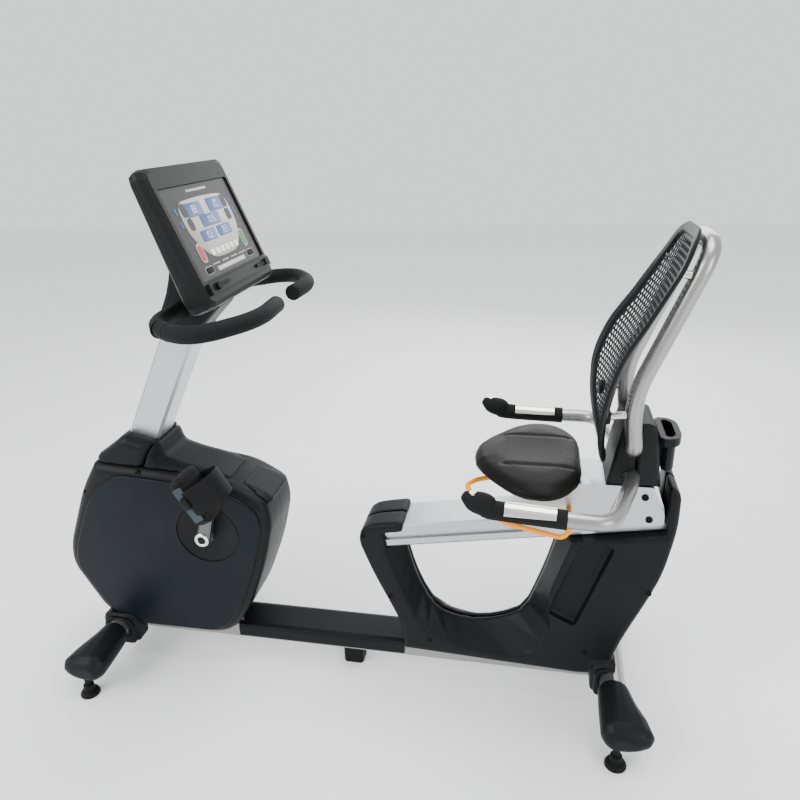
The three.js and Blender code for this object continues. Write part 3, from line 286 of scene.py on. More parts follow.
def outline(corners, inward=0.0, steps=8):
    """Corners [a, b, radius] as a closed line, each rounded by a smooth arc."""
    moved = inset_corners(corners, inward)
    count = len(moved)
    points = []
    for i, (here, radius) in enumerate(moved):
        if not radius:
            points.append(here)
            continue
        back = moved[i - 1][0] - here
        ahead = moved[(i + 1) % count][0] - here
        reach = min(radius, back.length * 0.48, ahead.length * 0.48)
        start = here + back.normalized() * reach
        end = here + ahead.normalized() * reach
        for k in range(steps + 1):
            t = k / steps
            points.append(start * (1 - t) ** 2 + here * 2 * t * (1 - t) + end * t * t)
    area = sum(points[i - 1].cross(points[i]) for i in range(len(points)))
    return points if area > 0 else points[::-1]


def box4(y, v, w, h, r):
    """Corners of a rounded box from its centre and half sizes."""
    return [[y - w, v - h, r], [y + w, v - h, r], [y + w, v + h, r], [y - w, v + h, r]]


# ---------------------------------------------------------------- meshes
def new_piece(name, points, faces, material, body=None, slot=None, nodes=(), smooth=True, angle=38):
    """A named piece that rides on a body, and may stand for CAD nodes."""
    mesh = bpy.data.meshes.new(name)
    mesh.from_pydata([tuple(p) for p in points], [], faces)
    bm = bmesh.new()
    bm.from_mesh(mesh)
    bmesh.ops.remove_doubles(bm, verts=bm.verts, dist=1e-6)
    bmesh.ops.recalc_face_normals(bm, faces=bm.faces)
    bm.to_mesh(mesh)
    bm.free()
    piece = bpy.data.objects.new(name, mesh)
    bpy.context.scene.collection.objects.link(piece)
    mesh.materials.append(material)
    if smooth:
        soften(piece, angle)
    if body:
        place(piece, body, slot, nodes)
    return piece


def place(piece, body, slot, nodes=()):
    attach(piece, body)
    if nodes:
        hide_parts(*nodes)


def soften(piece, angle):
    """Smooth shading with crisp edges where faces meet at more than an angle."""
    shade_smooth(piece)
    split = piece.modifiers.new("crisp_edges", "EDGE_SPLIT")
    split.split_angle = math.radians(angle)


def loft_mesh(rings, closed=False):
    """Points and faces of a skin over rings, capped at both ends unless it closes on itself."""
    count = len(rings[0])
    points = [p for ring in rings for p in ring]
    faces = []
    for r in range(len(rings) if closed else len(rings) - 1):
        a0, b0 = r * count, ((r + 1) % len(rings)) * count
        faces += [(a0 + i, a0 + (i + 1) % count, b0 + (i + 1) % count, b0 + i) for i in range(count)]
    if not closed:
        faces.append(tuple(range(count))[::-1])
        faces.append(tuple(range(len(points) - count, len(points))))
    return points, faces


def loft(name, rings, material, **more):
    points, faces = loft_mesh(rings)
    return new_piece(name, points, faces, material, **more)


def rounded_plate(name, corners, y0, y1, radius, material, steps=7):
    """A plate in the XZ plane whose edge is rounded where it meets y0, left unshaded to be cut."""
    side = 1 if y1 > y0 else -1
    rings = []
    for k in range(steps + 1):
        angle = k / steps * math.pi / 2
        y = y0 + side * radius * (1 - math.cos(angle))
        rings.append([at(p.x, y, p.y) for p in outline(corners, radius * (1 - math.sin(angle)))])
    rings.append([at(p.x, y1, p.y) for p in outline(corners)])
    return loft(name, rings, material, smooth=False)


def lathe(name, centre, axis, profile, material, sides=48, **more):
    """A turned piece: profile holds [radius, distance along the axis]."""
    axis = Vector(axis).normalized()
    u = axis.orthogonal().normalized()
    v = axis.cross(u)
    turns = [2 * math.pi * k / sides for k in range(sides)]
    rings = []
    for radius, along in profile:
        hub = centre + axis * along * MM
        radius = max(radius, 0.01) * MM
        rings.append([hub + (u * math.cos(t) + v * math.sin(t)) * radius for t in turns])
    return loft(name, rings, material, **more)


DOME_STEPS = 6


def bent_path(points, bend, steps=14):
    """Straight runs joined by smooth bends."""
    path = [points[0]]
    for i in range(1, len(points) - 1):
        here = points[i]
        back, ahead = points[i - 1] - here, points[i + 1] - here
        reach = min(bend * MM, back.length * 0.48, ahead.length * 0.48)
        start, end = here + back.normalized() * reach, here + ahead.normalized() * reach
        for k in range(steps + 1):
            t = k / steps
            path.append(start * (1 - t) ** 2 + here * 2 * t * (1 - t) + end * t * t)
    return path + [points[-1]]


def sweep_rings(path, radii, sides):
    """Round rings along a path, carried without twist."""
    across = None
    turns = [2 * math.pi * k / sides for k in range(sides)]
    rings = []
    for i, centre in enumerate(path):
        along = (path[min(i + 1, len(path) - 1)] - path[max(i - 1, 0)]).normalized()
        across = along.orthogonal() if across is None else across - along * across.dot(along)
        across.normalize()
        other = along.cross(across)
        rings.append([centre + (across * math.cos(t) + other * math.sin(t)) * radii[i] * MM for t in turns])
    return rings


def both_sides(points):
    """A path from its left half: the points, then their mirror images in reverse."""
    return [at(*p) for p in points] + [at(x, -y, z) for x, y, z in points][::-1]


def tube(name, points, radius, bend, material, dome=0.0, sides=28, **more):
    """A round tube along bent straight runs, with flat ends or domes of a given height."""
    path = bent_path(points, bend)
    radii = [radius] * len(path)
    if dome:
        arc = [k / DOME_STEPS * math.pi / 2 for k in range(1, DOME_STEPS + 1)]
        caps = []
        for tip, inner in ((path[0], path[1]), (path[-1], path[-2])):
            out = (tip - inner).normalized() * dome * MM
            caps.append(([tip + out * (math.sin(t) - 1) for t in arc], tip - out * 1.001))
        rims = [radius * max(math.cos(t), 0.02) for t in arc]
        (first, start), (last, end) = caps
        path = first[::-1] + [start] + path[1:-1] + [end] + last
        radii = rims[::-1] + radii + rims
    return loft(name, sweep_rings(path, radii, sides), material, **more)


def settle(piece):
    """Makes the result of a piece's modifiers its own mesh."""
    bpy.context.view_layer.update()
    evaluated = piece.evaluated_get(bpy.context.evaluated_depsgraph_get())
    piece.data = bpy.data.meshes.new_from_object(evaluated)
    piece.modifiers.clear()


def carve(piece, cutter):
    """Cuts one piece away from another, and removes the cutter."""
    step = piece.modifiers.new("carve", "BOOLEAN")
    step.object = cutter
    step.operation = "DIFFERENCE"
    step.solver = "EXACT"
    settle(piece)
    bpy.data.objects.remove(cutter)


def rounded_edges(piece, width, angle, segments=3):
    step = piece.modifiers.new("rounded_edges", "BEVEL")
    step.width = width * MM
    step.segments = segments
    step.limit_method = "ANGLE"
    step.angle_limit = math.radians(angle)
    step.use_clamp_overlap = True


def rows_between(rows, per_span):
    """Rows of numbers made denser along a smooth curve through them."""
    out = []
    for i in range(len(rows) - 1):
        before, a, b = rows[max(i - 1, 0)], rows[i], rows[i + 1]
        after = rows[min(i + 2, len(rows) - 1)]
        for k in range(per_span):
            t = k / per_span
            row = []
            for p, q, r, s in zip(before, a, b, after):
                row.append(0.5 * (2 * q + (r - p) * t + (2 * p - 5 * q + 4 * r - s) * t * t
                                  + (3 * q - p - 3 * r + s) * t ** 3))
            out.append(row)
    return out + [list(rows[-1])]


def finish_kept(name, material, bevel=0.0):
    """Gives a CAD node that stays in view its finish and softened edges."""
    node = bpy.data.objects[name]
    for slot in node.material_slots:
        slot.material = material
    if not node.material_slots:
        node.data.materials.append(material)
    if bevel:
        rounded_edges(node, bevel, CREASE)
    soften(node, CREASE + 8)


def free_copy(name, node, material):
    """A copy of a CAD node's mesh as a piece of its own."""
    source = bpy.data.objects[node]
    bpy.context.view_layer.update()
    mesh = bpy.data.meshes.new_from_object(source)
    mesh.transform(source.matrix_world)
    mesh.materials.clear()
    mesh.materials.append(material)
    copy = bpy.data.objects.new(name, mesh)
    bpy.context.scene.collection.objects.link(copy)
    return copy


def remesh_step(piece, voxel):
    step = piece.modifiers.new("remesh", "REMESH")
    step.mode = "VOXEL"
    step.voxel_size = voxel * MM
    return step


def smooth_step(piece, repeats):
    step = piece.modifiers.new("smooth", "SMOOTH")
    step.factor = 0.5
    step.iterations = repeats


def finer_step(piece, levels):
    step = piece.modifiers.new("finer", "SUBSURF")
    step.levels = step.render_levels = levels


def shade_smooth(piece):
    piece.data.polygons.foreach_set("use_smooth", [True] * len(piece.data.polygons))


def smooth_shell(name, node, voxel, repeats):
    """Stands for a black plastic node of the frame: a remeshed copy with its facets smoothed away."""
    shell = free_copy(name, node, FINISH["black_plastic"])
    remesh_step(shell, voxel).use_smooth_shade = True
    smooth_step(shell, repeats)
    settle(shell)
    shade_smooth(shell)
    place(shell, "frame", "black_plastic", [node])


# ---------------------------------------------------------------- covers
DRIVE = [[-613, 99, 20], [-345, 102, 60], [-285, 190, 60], [-226, 335, 120], [-197, 450, 60], [-206, 506, 12],
         [-228, 522, 30], [-287, 556, 60], [-445, 580, 60], [-518, 586, 20], [-590, 590, 20], [-646, 594, 10],
         [-697, 516, 60], [-769, 348, 40], [-777, 285, 40], [-704, 141, 30]]
PANEL = [[-612, 118, 20], [-362, 118, 50], [-304, 196, 60], [-246, 340, 120], [-217, 450, 60],
         [-229, 496, 40], [-292, 536, 60], [-445, 560, 60], [-590, 570, 40], [-672, 500, 60],
         [-742, 344, 40], [-750, 288, 40], [-684, 160, 30]]


DRIVE_SCREWS = [(-525, 575), (-681, 510), (-225, 438), (-684, 188), (-317, 187)]
BOWL = [[84, 0], [80, 2], [80, 3], [77, 8], [68, 14], [56, 19], [49, 21], [0, 21]]
BOWL_RIM = [[83, 0], [84.5, 0.8], [84, 2.4], [82, 3.4], [80, 3], [79, 1], [79, -2], [83, -2]]


def drive_covers():
    """Each drive cover is a shell with a bowl round the crank, a raised panel, and rings in the bowl."""
    black, navy = FINISH["black_plastic"], FINISH["housing_panel"]
    for side, s in SIDES:
        node = [f"drive_cover_{side}"]
        mouth = at(CRANK_X, s * 99, CRANK_Z)
        shell = rounded_plate(f"drive_shell_{side}", DRIVE, s * 90, s * 0.4, 26, black)
        carve(shell, lathe("bowl", mouth, (0, -s, 0), BOWL, black, sides=96, smooth=False))
        soften(shell, 30)
        place(shell, "frame", "black_plastic", node)
        panel = rounded_plate(f"drive_panel_{side}", PANEL, s * 96, s * 89.5, 5, navy)
        carve(panel, lathe("hole", mouth, (0, -s, 0), [[82, 0], [82, 14]], navy, sides=96, smooth=False))
        soften(panel, 30)
        place(panel, "frame", "housing_panel", node)
        turned = {"sides": 96, "body": "frame", "slot": "black_plastic", "nodes": node}
        rim_spot = at(CRANK_X, s * 94.6, CRANK_Z)
        lathe(f"drive_recess_rim_{side}", rim_spot, (0, s, 0), BOWL_RIM, black, **turned)
        for i, (radius, deep) in enumerate(((67, 12.6), (52, 19.2))):
            ring = [[radius + 1.6, -1], [radius + 1.2, 1.2], [radius, 1.8], [radius - 1.2, 1.2],
                    [radius - 1.6, -1]]
            spot = at(CRANK_X, s * (99 - deep), CRANK_Z)
            lathe(f"drive_recess_step_{side}_{i}", spot, (0, s, 0), ring, black, **turned)
        for i, (x, z) in enumerate(DRIVE_SCREWS):
            screw(f"drive_screw_{side}_{i}", at(x, s * 87, z), (0, s, 0), 4.4)


SCREW = [[1.5, -6], [1.5, 0.4], [1.15, 0.9], [1, 0.3], [0.95, -0.8], [0.7, -0.2], [0.35, 0.1], [0.3, -0.9],
         [0, -1]]


def screw(name, spot, axis, radius, body="frame"):
    """A screw head in a washer, whose profile's radii are multiples of the head's radius."""
    profile = [[radius * k, along] for k, along in SCREW]
    lathe(name, spot, axis, profile, TINT["recess_black"], sides=24, body=body, slot="black_plastic")


# Screws of the rear covers. Numbers 1, 4 and 5 of the photo sit on slanting faces, and are left out.
REAR_SCREWS = {0: (27, 430), 2: (88, 263), 3: (185, 143), 6: (685, 350), 7: (559, 165)}


def rear_covers():
    for side, s in SIDES:
        smooth_shell(f"rear_shell_{side}", f"rear_cover_{side}", 3, 14)
        for i, (x, z) in REAR_SCREWS.items():
            narrow = 1 - 0.22 * max(0, 480 - x) / 480
            screw(f"rear_screw_{side}_{i}", at(x, s * (79.2 * narrow), z), (0, s, 0), 4.2)


def top_covers():
    for node in ("top_cover", "mast_collar"):
        smooth_shell(f"{node}_shell", node, 2.6, 8)


# ---------------------------------------------------------------- tubes
def handlebar():
    half = [(-136, -46, 993), (-130, -167, 992), (-219, -292, 987), (-350, -200, 981), (-360, -60, 979)]
    tube("handlebar_foam", both_sides(half), 18, 90, FINISH["foam_sleeve"], dome=6, sides=36, body="frame",
         slot="foam_sleeve", nodes=["handlebar"])
    seam = [[18.2, -2.2], [18.9, -1.4], [18.9, 1.4], [18.2, 2.2], [17.2, 2.2], [17.2, -2.2]]
    for side, s in SIDES:
        a, b = Vector((-219, s * 292, 987)), Vector((-350, s * 200, 981))
        for i, share in enumerate((0.5, 0.76)):
            lathe(f"foam_seam_{side}_{i}", at(*a.lerp(b, share)), b - a, seam, FINISH["rubber"], sides=40,
                  body="frame", slot="foam_sleeve", nodes=["handlebar"])


def side_handles():
    half = [(345, -247, 640), (488, -253, 633), (570, -256, 632), (630, -66, 631)]
    tube("side_handle_chrome", both_sides(half), 16, 70, FINISH["silver_paint"], sides=32, body="seat",
         slot="silver_paint", nodes=["side_handle_tube"])
    grip_rows = [(487, 633.1, 19.5), (350, 639.8, 19.5), (330, 650, 23), (309, 656, 21), (296, 663, 15),
                 (286, 669, 8)]
    for side, s in SIDES:
        path, radii = [], []
        for x, z, radius in rows_between(grip_rows, 8):
            path.append(at(x, s * (247 + (x - 345) * 0.042), z))
            radii.append(radius)
        grip = loft(f"grip_foam_{side}", sweep_rings(path, radii, 40), FINISH["foam_sleeve"], smooth=False)
        soften(grip, 50)
        place(grip, "seat", "foam_sleeve", [f"{side}_grip"])


def backrest_hoop():
    """The silver hoop, the stub inside its foot, and the pegs that hold the backrest."""
    silver = {"body": "seat", "slot": "silver_paint", "nodes": ["backrest_frame"]}
    half = [(622, -19, 700), (622, -85, 700), (608, -85, 822), (725, -85, 1122)]
    tube("backrest_hoop", both_sides(half), 17, 60, FINISH["silver_paint"], sides=36, **silver)
    stub = [at(622, -22, 700), at(622, 22, 700)]
    tube("backrest_cross_stub", stub, 16.5, 5, FINISH["silver_paint"], **silver)
    for side, s in SIDES:
        for i, (a, b) in enumerate((((609, 786), (567, 780)), ((698, 1066), (668, 1072)))):
            start, end = at(a[0], s * 85, a[1]), at(b[0], s * 85, b[1])
            tube(f"backrest_peg_{side}_{i}", [start, end], 8, 2, FINISH["steel"], body="seat", slot="steel",
                 nodes=["backrest_frame"])


def lever():
    path = [(500, -44, 545), (502, -139, 543), (488, -139, 518), (354, -118, 534), (272, -80, 596),
            (296, -44, 594), (330, -28, 593)]
    tube("lever_rod", [at(*p) for p in path], 5.5, 26, FINISH["orange_paint"], dome=3, sides=24,
         body="release_lever", slot="orange_paint", nodes=["seat_lever"])


# ---------------------------------------------------------------- pedals and cranks
PLAN = [[-62, -40, 16], [50, -46, 20], [64, -20, 20], [64, 20, 20], [50, 46, 20], [-62, 40, 16]]
HEEL, SOLE = (0.5, -0.866), (0.866, 0.5)


PEDAL_CENTRES = {"left": (-315.3, -190, 587.1), "right": (-408.7, 190, 254.9)}
BLOCK_EDGE = ((-16, 7), (-15, 3.5), (-12.5, 1), (-9, 0), (7, 0), (10, 0.8), (11.6, 2.6), (12, 5))
ARCH_HALF = [(46.5, -10), (52, 24), (34, 62), (0, 74)]
FLAP_EDGE = ((-34, 0.2), (-32, 1.4), (-28, 1.7), (24, 1.7), (28, 1.4), (30, 0.2))


def pedal_spot(side):
    """A pedal's own frame: a towards the heel, b across, n out of the sole."""
    cx, cy, cz = PEDAL_CENTRES[side]

    def spot(a, b, n):
        return at(cx + HEEL[0] * a + SOLE[0] * n, cy + b, cz + HEEL[1] * a + SOLE[1] * n)

    return spot


def pedal_block(side, spot):
    """The pedal's body and the ribs of its tread."""
    rings = [[spot(p.x, p.y, n) for p in outline(PLAN, inward)] for n, inward in BLOCK_EDGE]
    block = loft(f"pedal_block_{side}", rings, FINISH["rubber"], smooth=False)
    soften(block, 40)
    place(block, f"{side}_pedal", "rubber", [f"pedal_{side}"])
    for i in range(7):
        a = -48 + i * 15
        wide = 36 if abs(a) < 45 else 32
        corners = ((-3, -wide), (3, -wide), (3, wide), (-3, wide))
        tread = [[spot(a + da, b, n) for da, b in corners] for n in (11, 13.2)]
        rib = loft(f"pedal_rib_{side}_{i}", tread, FINISH["rubber"], smooth=False)
        rounded_edges(rib, 0.8, 30, 2)
        place(rib, f"{side}_pedal", "rubber", [f"pedal_{side}"])


def strap_flap(side, spot):
    """The flap that arches over the foot: an outer and an inner sheet, joined round their edges."""
    arch = ARCH_HALF + [(-b, n) for b, n in ARCH_HALF[-2::-1]]
    dense = rows_between(arch, 7)
    count, last = len(dense), len(FLAP_EDGE) - 1
    points, faces = [], []
    for a, thick in FLAP_EDGE:
        for sign in (1, -1):
            for k, (b, n) in enumerate(dense):
                before, after = dense[max(k - 1, 0)], dense[min(k + 1, count - 1)]
                along = Vector((after[0] - before[0], after[1] - before[1])).normalized()
                points.append(spot(a, b + sign * along.y * thick, n - sign * along.x * thick))

    def corner(ring, sheet, k):
        return (ring * 2 + sheet) * count + k

    for r in range(last):
        for sheet in (0, 1):
            faces += [(corner(r, sheet, k), corner(r, sheet, k + 1), corner(r + 1, sheet, k + 1),
                       corner(r + 1, sheet, k)) for k in range(count - 1)]
        faces += [(corner(r, 0, k), corner(r + 1, 0, k), corner(r + 1, 1, k), corner(r, 1, k))
                  for k in (0, count - 1)]
    for r in (0, last):
        faces += [(corner(r, 0, k), corner(r, 1, k), corner(r, 1, k + 1), corner(r, 0, k + 1))
                  for k in range(count - 1)]
    new_piece(f"strap_flap_{side}", points, faces, FINISH["rubber"], body=f"{side}_pedal", slot="rubber",
              nodes=[f"pedal_strap_{side}"], angle=50)


def strap_band(side, s, spot):
    """The band along the outer side of the pedal, and its ratchet buckle."""
    section = ((0, -4), (3.2, -4), (3.2, 19), (0, 19))
    rings = [[spot(a, s * (50.2 + w), n) for w, n in section] for a in (-46, -40, 0, 36, 42)]
    band = loft(f"strap_band_{side}", rings, TINT["strap"], smooth=False)
    rounded_edges(band, 1.2, 30, 2)
    place(band, f"{side}_pedal", "rubber", [f"pedal_strap_{side}"])
    rings = [[spot(p.x - 8, s * (53 + w), p.y + 8) for p in outline(box4(0, 0, 15, 9, 8), inward, 6)]
             for w, inward in ((-1, 0), (4, 0), (6.2, 1), (7, 3))]
    loft(f"strap_buckle_{side}", rings, FINISH["black_plastic"], body=f"{side}_pedal", slot="rubber",
         nodes=[f"pedal_strap_{side}"])


def pedals():
    for side, s in SIDES:
        spot = pedal_spot(side)
        pedal_block(side, spot)
        strap_flap(side, spot)
        strap_band(side, s, spot)


# ---------------------------------------------------------------- console
TILT = math.radians(22)


def face(y, v, n):
    """A point on the console: y across, v up the face, n out of it."""
    sine, cosine = math.sin(TILT), math.cos(TILT)
    return at(-281.5 - sine * v + cosine * n, y, 1150 + cosine * v + sine * n)


def tile(name, corners, low, high, tint, soft=0.6):
    """A thin raised shape on the console face, from corners [y, v, radius], with a softened upper edge."""
    rings = [[face(p.x, p.y, n) for p in outline(corners, inward)]
             for n, inward in ((low, 0), (high - soft, 0), (high - soft * 0.3, soft * 0.3), (high, soft))]
    loft(name, rings, TINT[tint], body="frame", slot="display_glass")


# Strokes of a seven-stroke digit: centre y, centre v, half width, half height, in a cell 2 wide and 4 high.
STROKES = [(0, 2, 0.8, 0.2), (-1, 1, 0.2, 0.8), (1, 1, 0.2, 0.8), (0, 0, 0.8, 0.2), (-1, -1, 0.2, 0.8),
           (1, -1, 0.2, 0.8), (0, -2, 0.8, 0.2)]
DIGITS = {"0": (0, 1, 2, 4, 5, 6), "1": (2, 5), "2": (0, 2, 3, 4, 6), "3": (0, 2, 3, 5, 6),
          "5": (0, 1, 3, 5, 6), "8": (0, 1, 2, 3, 4, 5, 6)}


def digits(name, text, y, v, size):
    for i, letter in enumerate(text):
        left = y + (i - (len(text) - 1) / 2) * size * 3
        for k in DIGITS[letter]:
            dy, dv, w, h = STROKES[k]
            stroke = box4(left + dy * size, v + dv * size, w * size, h * size, 0)
            tile(f"{name}_{i}_{k}", stroke, 1.3, 1.9, "ink_white", soft=0.05)


SHIELD = [[-110, 65, 30], [0, 70, 120], [110, 65, 30], [116, -2, 60], [70, -60, 40], [0, -64, 60],
          [-70, -60, 40], [-116, -2, 60]]
# Each window's centre, half sizes and generic reading.
WINDOWS = {"upper_left": (-50, 45, 36, 15, "88"), "upper_right": (50, 46, 36, 15, "20"),
           "centre": (0, 17, 44, 13, "1035"), "lower_left": (-39, -13, 33, 12, "102"),
           "lower_right": (39, -12, 33, 12, "83")}


def console():
    """The printed shapes on the display panel."""
    tile("overlay_shield", SHIELD, -0.2, 0.7, "display_face")
    for name, (y, v, w, h, text) in WINDOWS.items():
        tile(f"overlay_window_{name}", box4(y, v, w, h, 5), 0.5, 1.4, "window_blue")
        digits(f"overlay_digit_{name}", text, y, v, 3.7 if len(text) < 4 else 3.2)
    for i in range(6):
        tile(f"overlay_key_{i}", box4(-58 + i * 23.2, -49, 8.2, 6.5, 3), 0.5, 2.0, "ink_white")
    for i, y in enumerate((-66, -22, 22, 66)):
        tile(f"overlay_label_{i}", box4(y, -72, 17, 1.3, 0), -0.1, 0.6, "ink_grey", soft=0.1)
    for side, s in SIDES:
        tile(f"overlay_outline_{side}", box4(s * 105, -80, 18, 8.5, 8), -0.2, 0.5, "ink_grey")
        tile(f"overlay_outline_face_{side}", box4(s * 105, -80, 16.6, 7.1, 7), 0.1, 0.9, "recess_black")
        for k, v in enumerate((48, 20)):
            tile(f"overlay_mark_{side}_{k}", box4(s * 124, v, 1.8, 7, 1.5), -0.1, 0.7, "ink_blue")
        tile(f"overlay_ring_{side}", box4(s * 104, -43, 12, 21, 12), -0.2, 0.8, "ink_grey")
    tile("overlay_heading", box4(0, 84, 46, 2.6, 2), -0.1, 0.5, "ink_grey", soft=0.1)
    tile("overlay_number_strip", box4(0, -84, 70, 5, 4), -0.1, 0.5, "ink_grey", soft=0.1)
    for i in range(12):
        tile(f"overlay_number_{i}", box4(-61 + i * 11.1, -84, 2.4, 3, 1), 0.4, 0.9, "ink_white", soft=0.1)


# ---------------------------------------------------------------- seat
PUFF = 0.0014  # metres that the cloth run may move a point
SEAM_Y, SEAM_FRONT = 75, 352  # the sewn lines: one each side, and one across the front
CUSHION_TOP = 632  # the sewn lines show above this height


def puff(pad):
    """Inflates a cushion as cloth, and holds each point near its start."""
    rest = [v.co.copy() for v in pad.data.vertices]
    cloth = pad.modifiers.new("cloth", "CLOTH")
    cloth.settings.use_pressure = True
    cloth.settings.uniform_pressure_force = 3
    cloth.settings.effector_weights.gravity = 0
    cloth.settings.quality = 5
    for number in range(1, 21):
        bpy.context.scene.frame_set(number)
    settle(pad)
    bpy.context.scene.frame_set(1)
    for vertex, start in zip(pad.data.vertices, rest):
        move = vertex.co - start
        vertex.co = start + move * min(1, PUFF / max(move.length, 1e-9))


def groove(offset):
    """How deep a sewn line presses in, from 0 to 1, at a distance from it."""
    return math.exp(-(offset / 4.6) ** 2)


def cushion():
    """The CAD cushion remeshed and puffed, with sewn lines and a slight hollow pressed into its top."""
    pad = free_copy("seat_cushion_pad", "seat_cushion", FINISH["vinyl"])
    centre = middle("seat_cushion")
    for vertex in pad.data.vertices:
        vertex.co = centre + (vertex.co - centre) * 0.994
    remesh_step(pad, 5.5)
    settle(pad)
    puff(pad)
    smooth_step(pad, 5)
    settle(pad)
    for vertex in pad.data.vertices:
        x, y, z = (vertex.co.x - SHIFT) / MM, vertex.co.y / MM, vertex.co.z / MM
        if z < CUSHION_TOP:
            continue
        lengthwise = groove(abs(y) - SEAM_Y) * max(0, min(1, (x - 348) / 14, (512 - x) / 14))
        across = groove(x - SEAM_FRONT) * max(0, min(1, (77 - abs(y)) / 6))
        vertex.co.z -= 0.0042 * min(1, lengthwise + across)
        hollow = max(0, 1 - ((x - 430) / 90) ** 2) * max(0, 1 - (y / 62) ** 2)
        vertex.co.z -= 0.0025 * hollow
    finer_step(pad, 1)
    shade_smooth(pad)
    place(pad, "seat", "vinyl", ["seat_cushion"])


# Rows up the back: x, z, half width, and how far the sides wrap forward.
BACK_ROWS = [[566, 655, 34, 2], [563, 672, 66, 5], [561, 700, 95, 11], [561, 750, 135, 20],
             [568, 800, 160, 28], [574, 829, 166, 31], [583, 866, 160, 31], [599, 915, 149, 28],
             [632, 978, 135, 24], [657, 1036, 125, 17], [675, 1083, 114, 9], [688, 1123, 90, 4],
             [697, 1139, 60, 3], [703, 1149, 30, 1]]
BACK_TABLE = rows_between(BACK_ROWS, 24)
BACK_LENGTHS = [0.0]
for lower, upper in zip(BACK_TABLE, BACK_TABLE[1:]):
    BACK_LENGTHS.append(BACK_LENGTHS[-1] + math.hypot(upper[0] - lower[0], upper[1] - lower[1]))
BACK_TOTAL = BACK_LENGTHS[-1]
SHEET_START = 14  # where the perforated sheet begins, measured up the back
SHEET_INSET, HOLES_INSET = 9, 27  # from the outline to the sheet's edge, and to the first hole
MIDDLE_DEPTH = 6


def back_row(s):
    """The back's row [x, z, half width, wrap] at a length s up it."""
    s = min(max(s, 0), BACK_TOTAL)
    last = len(BACK_LENGTHS) - 1
    i = next((k for k in range(1, last + 1) if BACK_LENGTHS[k] >= s), last)
    t = (s - BACK_LENGTHS[i - 1]) / max(BACK_LENGTHS[i] - BACK_LENGTHS[i - 1], 1e-9)
    return [p + (q - p) * t for p, q in zip(BACK_TABLE[i - 1], BACK_TABLE[i])]


def back_skin(s, y, depth):
    """A point of the curved back, at a depth behind its front face."""
    x, z, half, wrap = back_row(s)
    ahead, behind = back_row(s + 3), back_row(s - 3)
    up = Vector((ahead[0] - behind[0], 0, ahead[1] - behind[1])).normalized()
    k = y / half
    lift = wrap * k * k - depth * (1 - 0.35 * k * k)
    return at(x - up.z * lift, y, z + up.x * lift)


def back_edge(s, inward):
    return max(back_row(s)[2] - inward, 2)


def backrest_sheet():
    """The perforated sheet: a grid of square cells, with every hole a cell left out and widened."""
    cell = 6
    points, faces, index = [], [], {}

    def vertex(i, j):
        if (i, j) not in index:
            row = i - i % 2
            in_holes = abs(j * cell) < back_edge(SHEET_START + row * cell, HOLES_INSET)
            grow = 0.19 * cell if in_holes else 0
            s = SHEET_START + i * cell + (grow if i % 2 else -grow)
            y = j * cell + (-grow if (j + row // 2) % 2 == 0 else grow)
            limit = back_edge(s, SHEET_INSET)
            index[i, j] = len(points)
            points.append(back_skin(s, max(-limit, min(limit, y)), MIDDLE_DEPTH))
        return index[i, j]

    for i in range(int((BACK_TOTAL - 26) / cell)):
        s = SHEET_START + (i + 0.5) * cell
        reach = int(back_edge(s, SHEET_INSET) / cell) + 1
        for j in range(-reach, reach):
            inside = abs(j + 0.5) * cell < back_edge(s, HOLES_INSET) and 34 < s < BACK_TOTAL - 30
            hole = inside and i % 2 == 0 and (j + i // 2) % 2 == 0
            if not hole:
                faces.append((vertex(i, j), vertex(i, j + 1), vertex(i + 1, j + 1), vertex(i + 1, j)))
    sheet = new_piece("backrest_sheet", points, faces, FINISH["black_plastic"], smooth=False)
    thick = sheet.modifiers.new("thickness", "SOLIDIFY")
    thick.thickness = 0.003
    thick.offset = 0
    finer_step(sheet, 2)
    shade_smooth(sheet)
    place(sheet, "seat", "black_plastic", ["backrest_shell"])


def backrest_rim():
    """The thick rim: one section swept round the outline of the back."""
    half = []
    for k in range(111):
        s = 12 + (BACK_TOTAL - 24) * (k / 110)
        half.append((s, back_edge(s, 12)))
    loop = half + [(s, -y) for s, y in half[::-1]]
    section = outline([[-14, -7, 6], [12, -7, 6], [12, 6, 6], [-14, 6, 6]], steps=5)
    rings = []
    for k, (s, y) in enumerate(loop):
        before, after = loop[k - 1], loop[(k + 1) % len(loop)]
        along = Vector((after[0] - before[0], after[1] - before[1])).normalized()
        outward = Vector((-along.y, along.x))
        if outward.dot(Vector((s - BACK_TOTAL / 2, y))) < 0:
            outward = -outward
        rings.append([back_skin(s + outward.x * p.x * 0.9, y + outward.y * p.x * 0.9, MIDDLE_DEPTH + p.y)
                      for p in section])
    points, faces = loft_mesh(rings, closed=True)
    rim = new_piece("backrest_rim", points, faces, FINISH["black_plastic"], smooth=False)
    soften(rim, 70)
    place(rim, "seat", "black_plastic", ["backrest_shell"])


def backrest():
    backrest_sheet()
    backrest_rim()
    knob = [[13, -8], [15, -6], [16, 0], [15, 3], [11, 5], [5, 6], [0, 6]]
    for side, s in SIDES:
        lathe(f"backrest_knob_{side}", at(560, s * 85, 779), (-1, 0, 0), knob, FINISH["black_plastic"],
              sides=32, body="seat", slot="black_plastic", nodes=["backrest_frame"])


# ---------------------------------------------------------------- feet and ends
FOOT = [[23, 0], [24, 1.2], [24, 4.4], [23, 5.4], [21.4, 7], [20.8, 10.6], [18, 12.4], [14, 14.2], [13.6, 20],
        [13, 30], [11, 32], [8, 32.4], [8, 82]]
FOOT_X = (("front", -681), ("rear", 627))


def end_caps():
    for end, _ in FOOT_X:
        for side, _ in SIDES:
            smooth_shell(f"{end}_{side}_end_cap_pod", f"{end}_{side}_end_cap", 2.5, 12)
    smooth_shell("front_boot_shell", "front_boot", 2.5, 6)


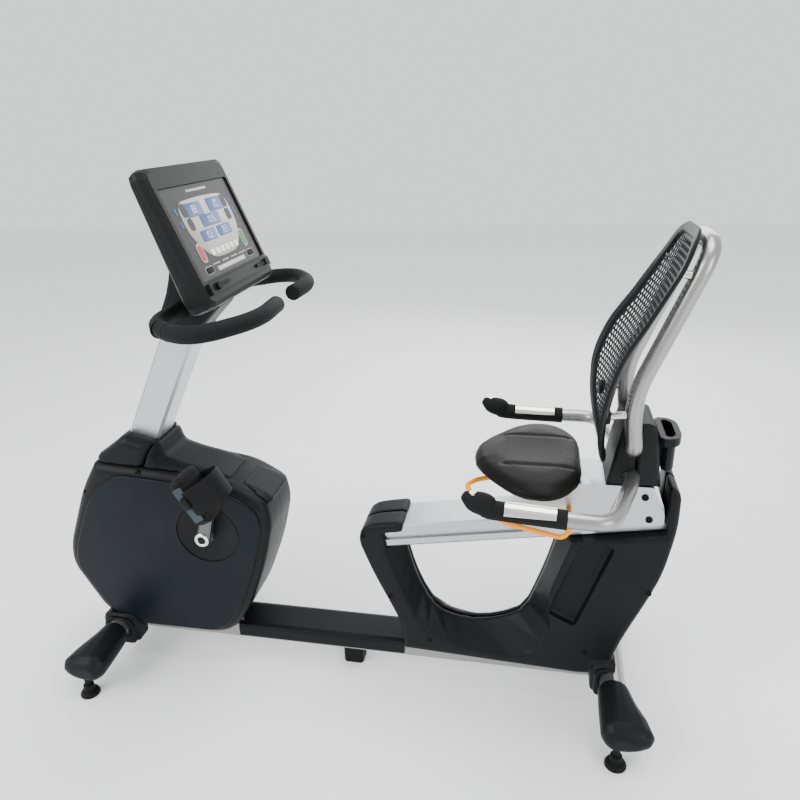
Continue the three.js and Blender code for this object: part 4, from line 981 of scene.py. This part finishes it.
def feet():
    for end, x in FOOT_X:
        for side, s in SIDES:
            name = f"{end}_{side}"
            lathe(f"{name}_foot_pad", at(x, s * 237.5, 0), (0, 0, 1), FOOT, FINISH["rubber"], sides=56,
                  body=f"{name}_leveller", slot="rubber", nodes=[f"{name}_foot"])


# ---------------------------------------------------------------- kept nodes
KEPT = {
    "black_plastic": ("beam_cover", "crank_pulley", "cup_holder", "console_neck"),
    "charcoal_plastic": ("console_front", "console_back", "column_front_cover", "column_rear_cover"),
    "display_glass": ("display_panel",),
    "silver_paint": ("base_frame",),
    "aluminium": ("seat_rail", "seat_carriage"),
    "steel": ("crank_axle", "flywheel", "flywheel_spindle", "left_pulse_contact", "right_pulse_contact",
              "left_handle_button", "right_handle_button"),
    "rubber": ("middle_foot", "drive_belt", "page_clip_left", "page_clip_right"),
    "red_key": ("stop_key",),
    "green_key": ("start_key",),
    "dark_key": ("resistance_up_key", "resistance_down_key", "time_up_key", "time_down_key"),
}
# The width of the rounding on kept nodes that have sharp edges.
ROUNDING = {"console_front": 2.0, "console_back": 3.0, "console_neck": 2.0, "column_front_cover": 2.5,
            "column_rear_cover": 2.5, "seat_carriage": 1.5, "seat_rail": 0.5, "beam_cover": 2.5,
            "cup_holder": 1.2, "middle_foot": 2.0}
BOSS_RING = [[9, -3], [16.5, -3], [18, -1.6], [18, 1], [16.4, 2.6], [11, 2.6], [9.4, 1.2]]
BOSS_CAP = [[10.5, -3], [10.5, 1], [9.8, 1.8], [6, 2.4], [0, 2.4]]


def kept_nodes():
    """Finishes the CAD nodes that stay in view, and adds the fittings that sit on them."""
    for slot, nodes in KEPT.items():
        for node in nodes:
            finish_kept(node, FINISH[slot], ROUNDING.get(node, 0))
    finish_kept("mast", TINT["mast_metal"], 1.5)
    for side, s in SIDES:
        finish_kept(f"crank_arm_{side}", TINT["dark_steel"], 1.2)
        on_crank = {"body": "crank", "slot": "steel"}
        lathe(f"crank_boss_ring_{side}", at(CRANK_X, s * 123.4, CRANK_Z), (0, s, 0), BOSS_RING,
              FINISH["steel"], **on_crank)
        lathe(f"crank_boss_cap_{side}", at(CRANK_X, s * 124, CRANK_Z), (0, s, 0), BOSS_CAP,
              FINISH["black_plastic"], **on_crank)
        for i, (x, z) in enumerate(((657, 585), (670, 531))):
            screw(f"carriage_bolt_{side}_{i}", at(x, s * 62.8, z), (0, s, 0), 5.2, "seat")


# ---------------------------------------------------------------- everything
make_camera()
FINISH, TINT = make_materials()
make_studio()
drive_covers()
rear_covers()
top_covers()
handlebar()
side_handles()
backrest_hoop()
lever()
pedals()
console()
cushion()
backrest()
end_caps()
feet()
kept_nodes()
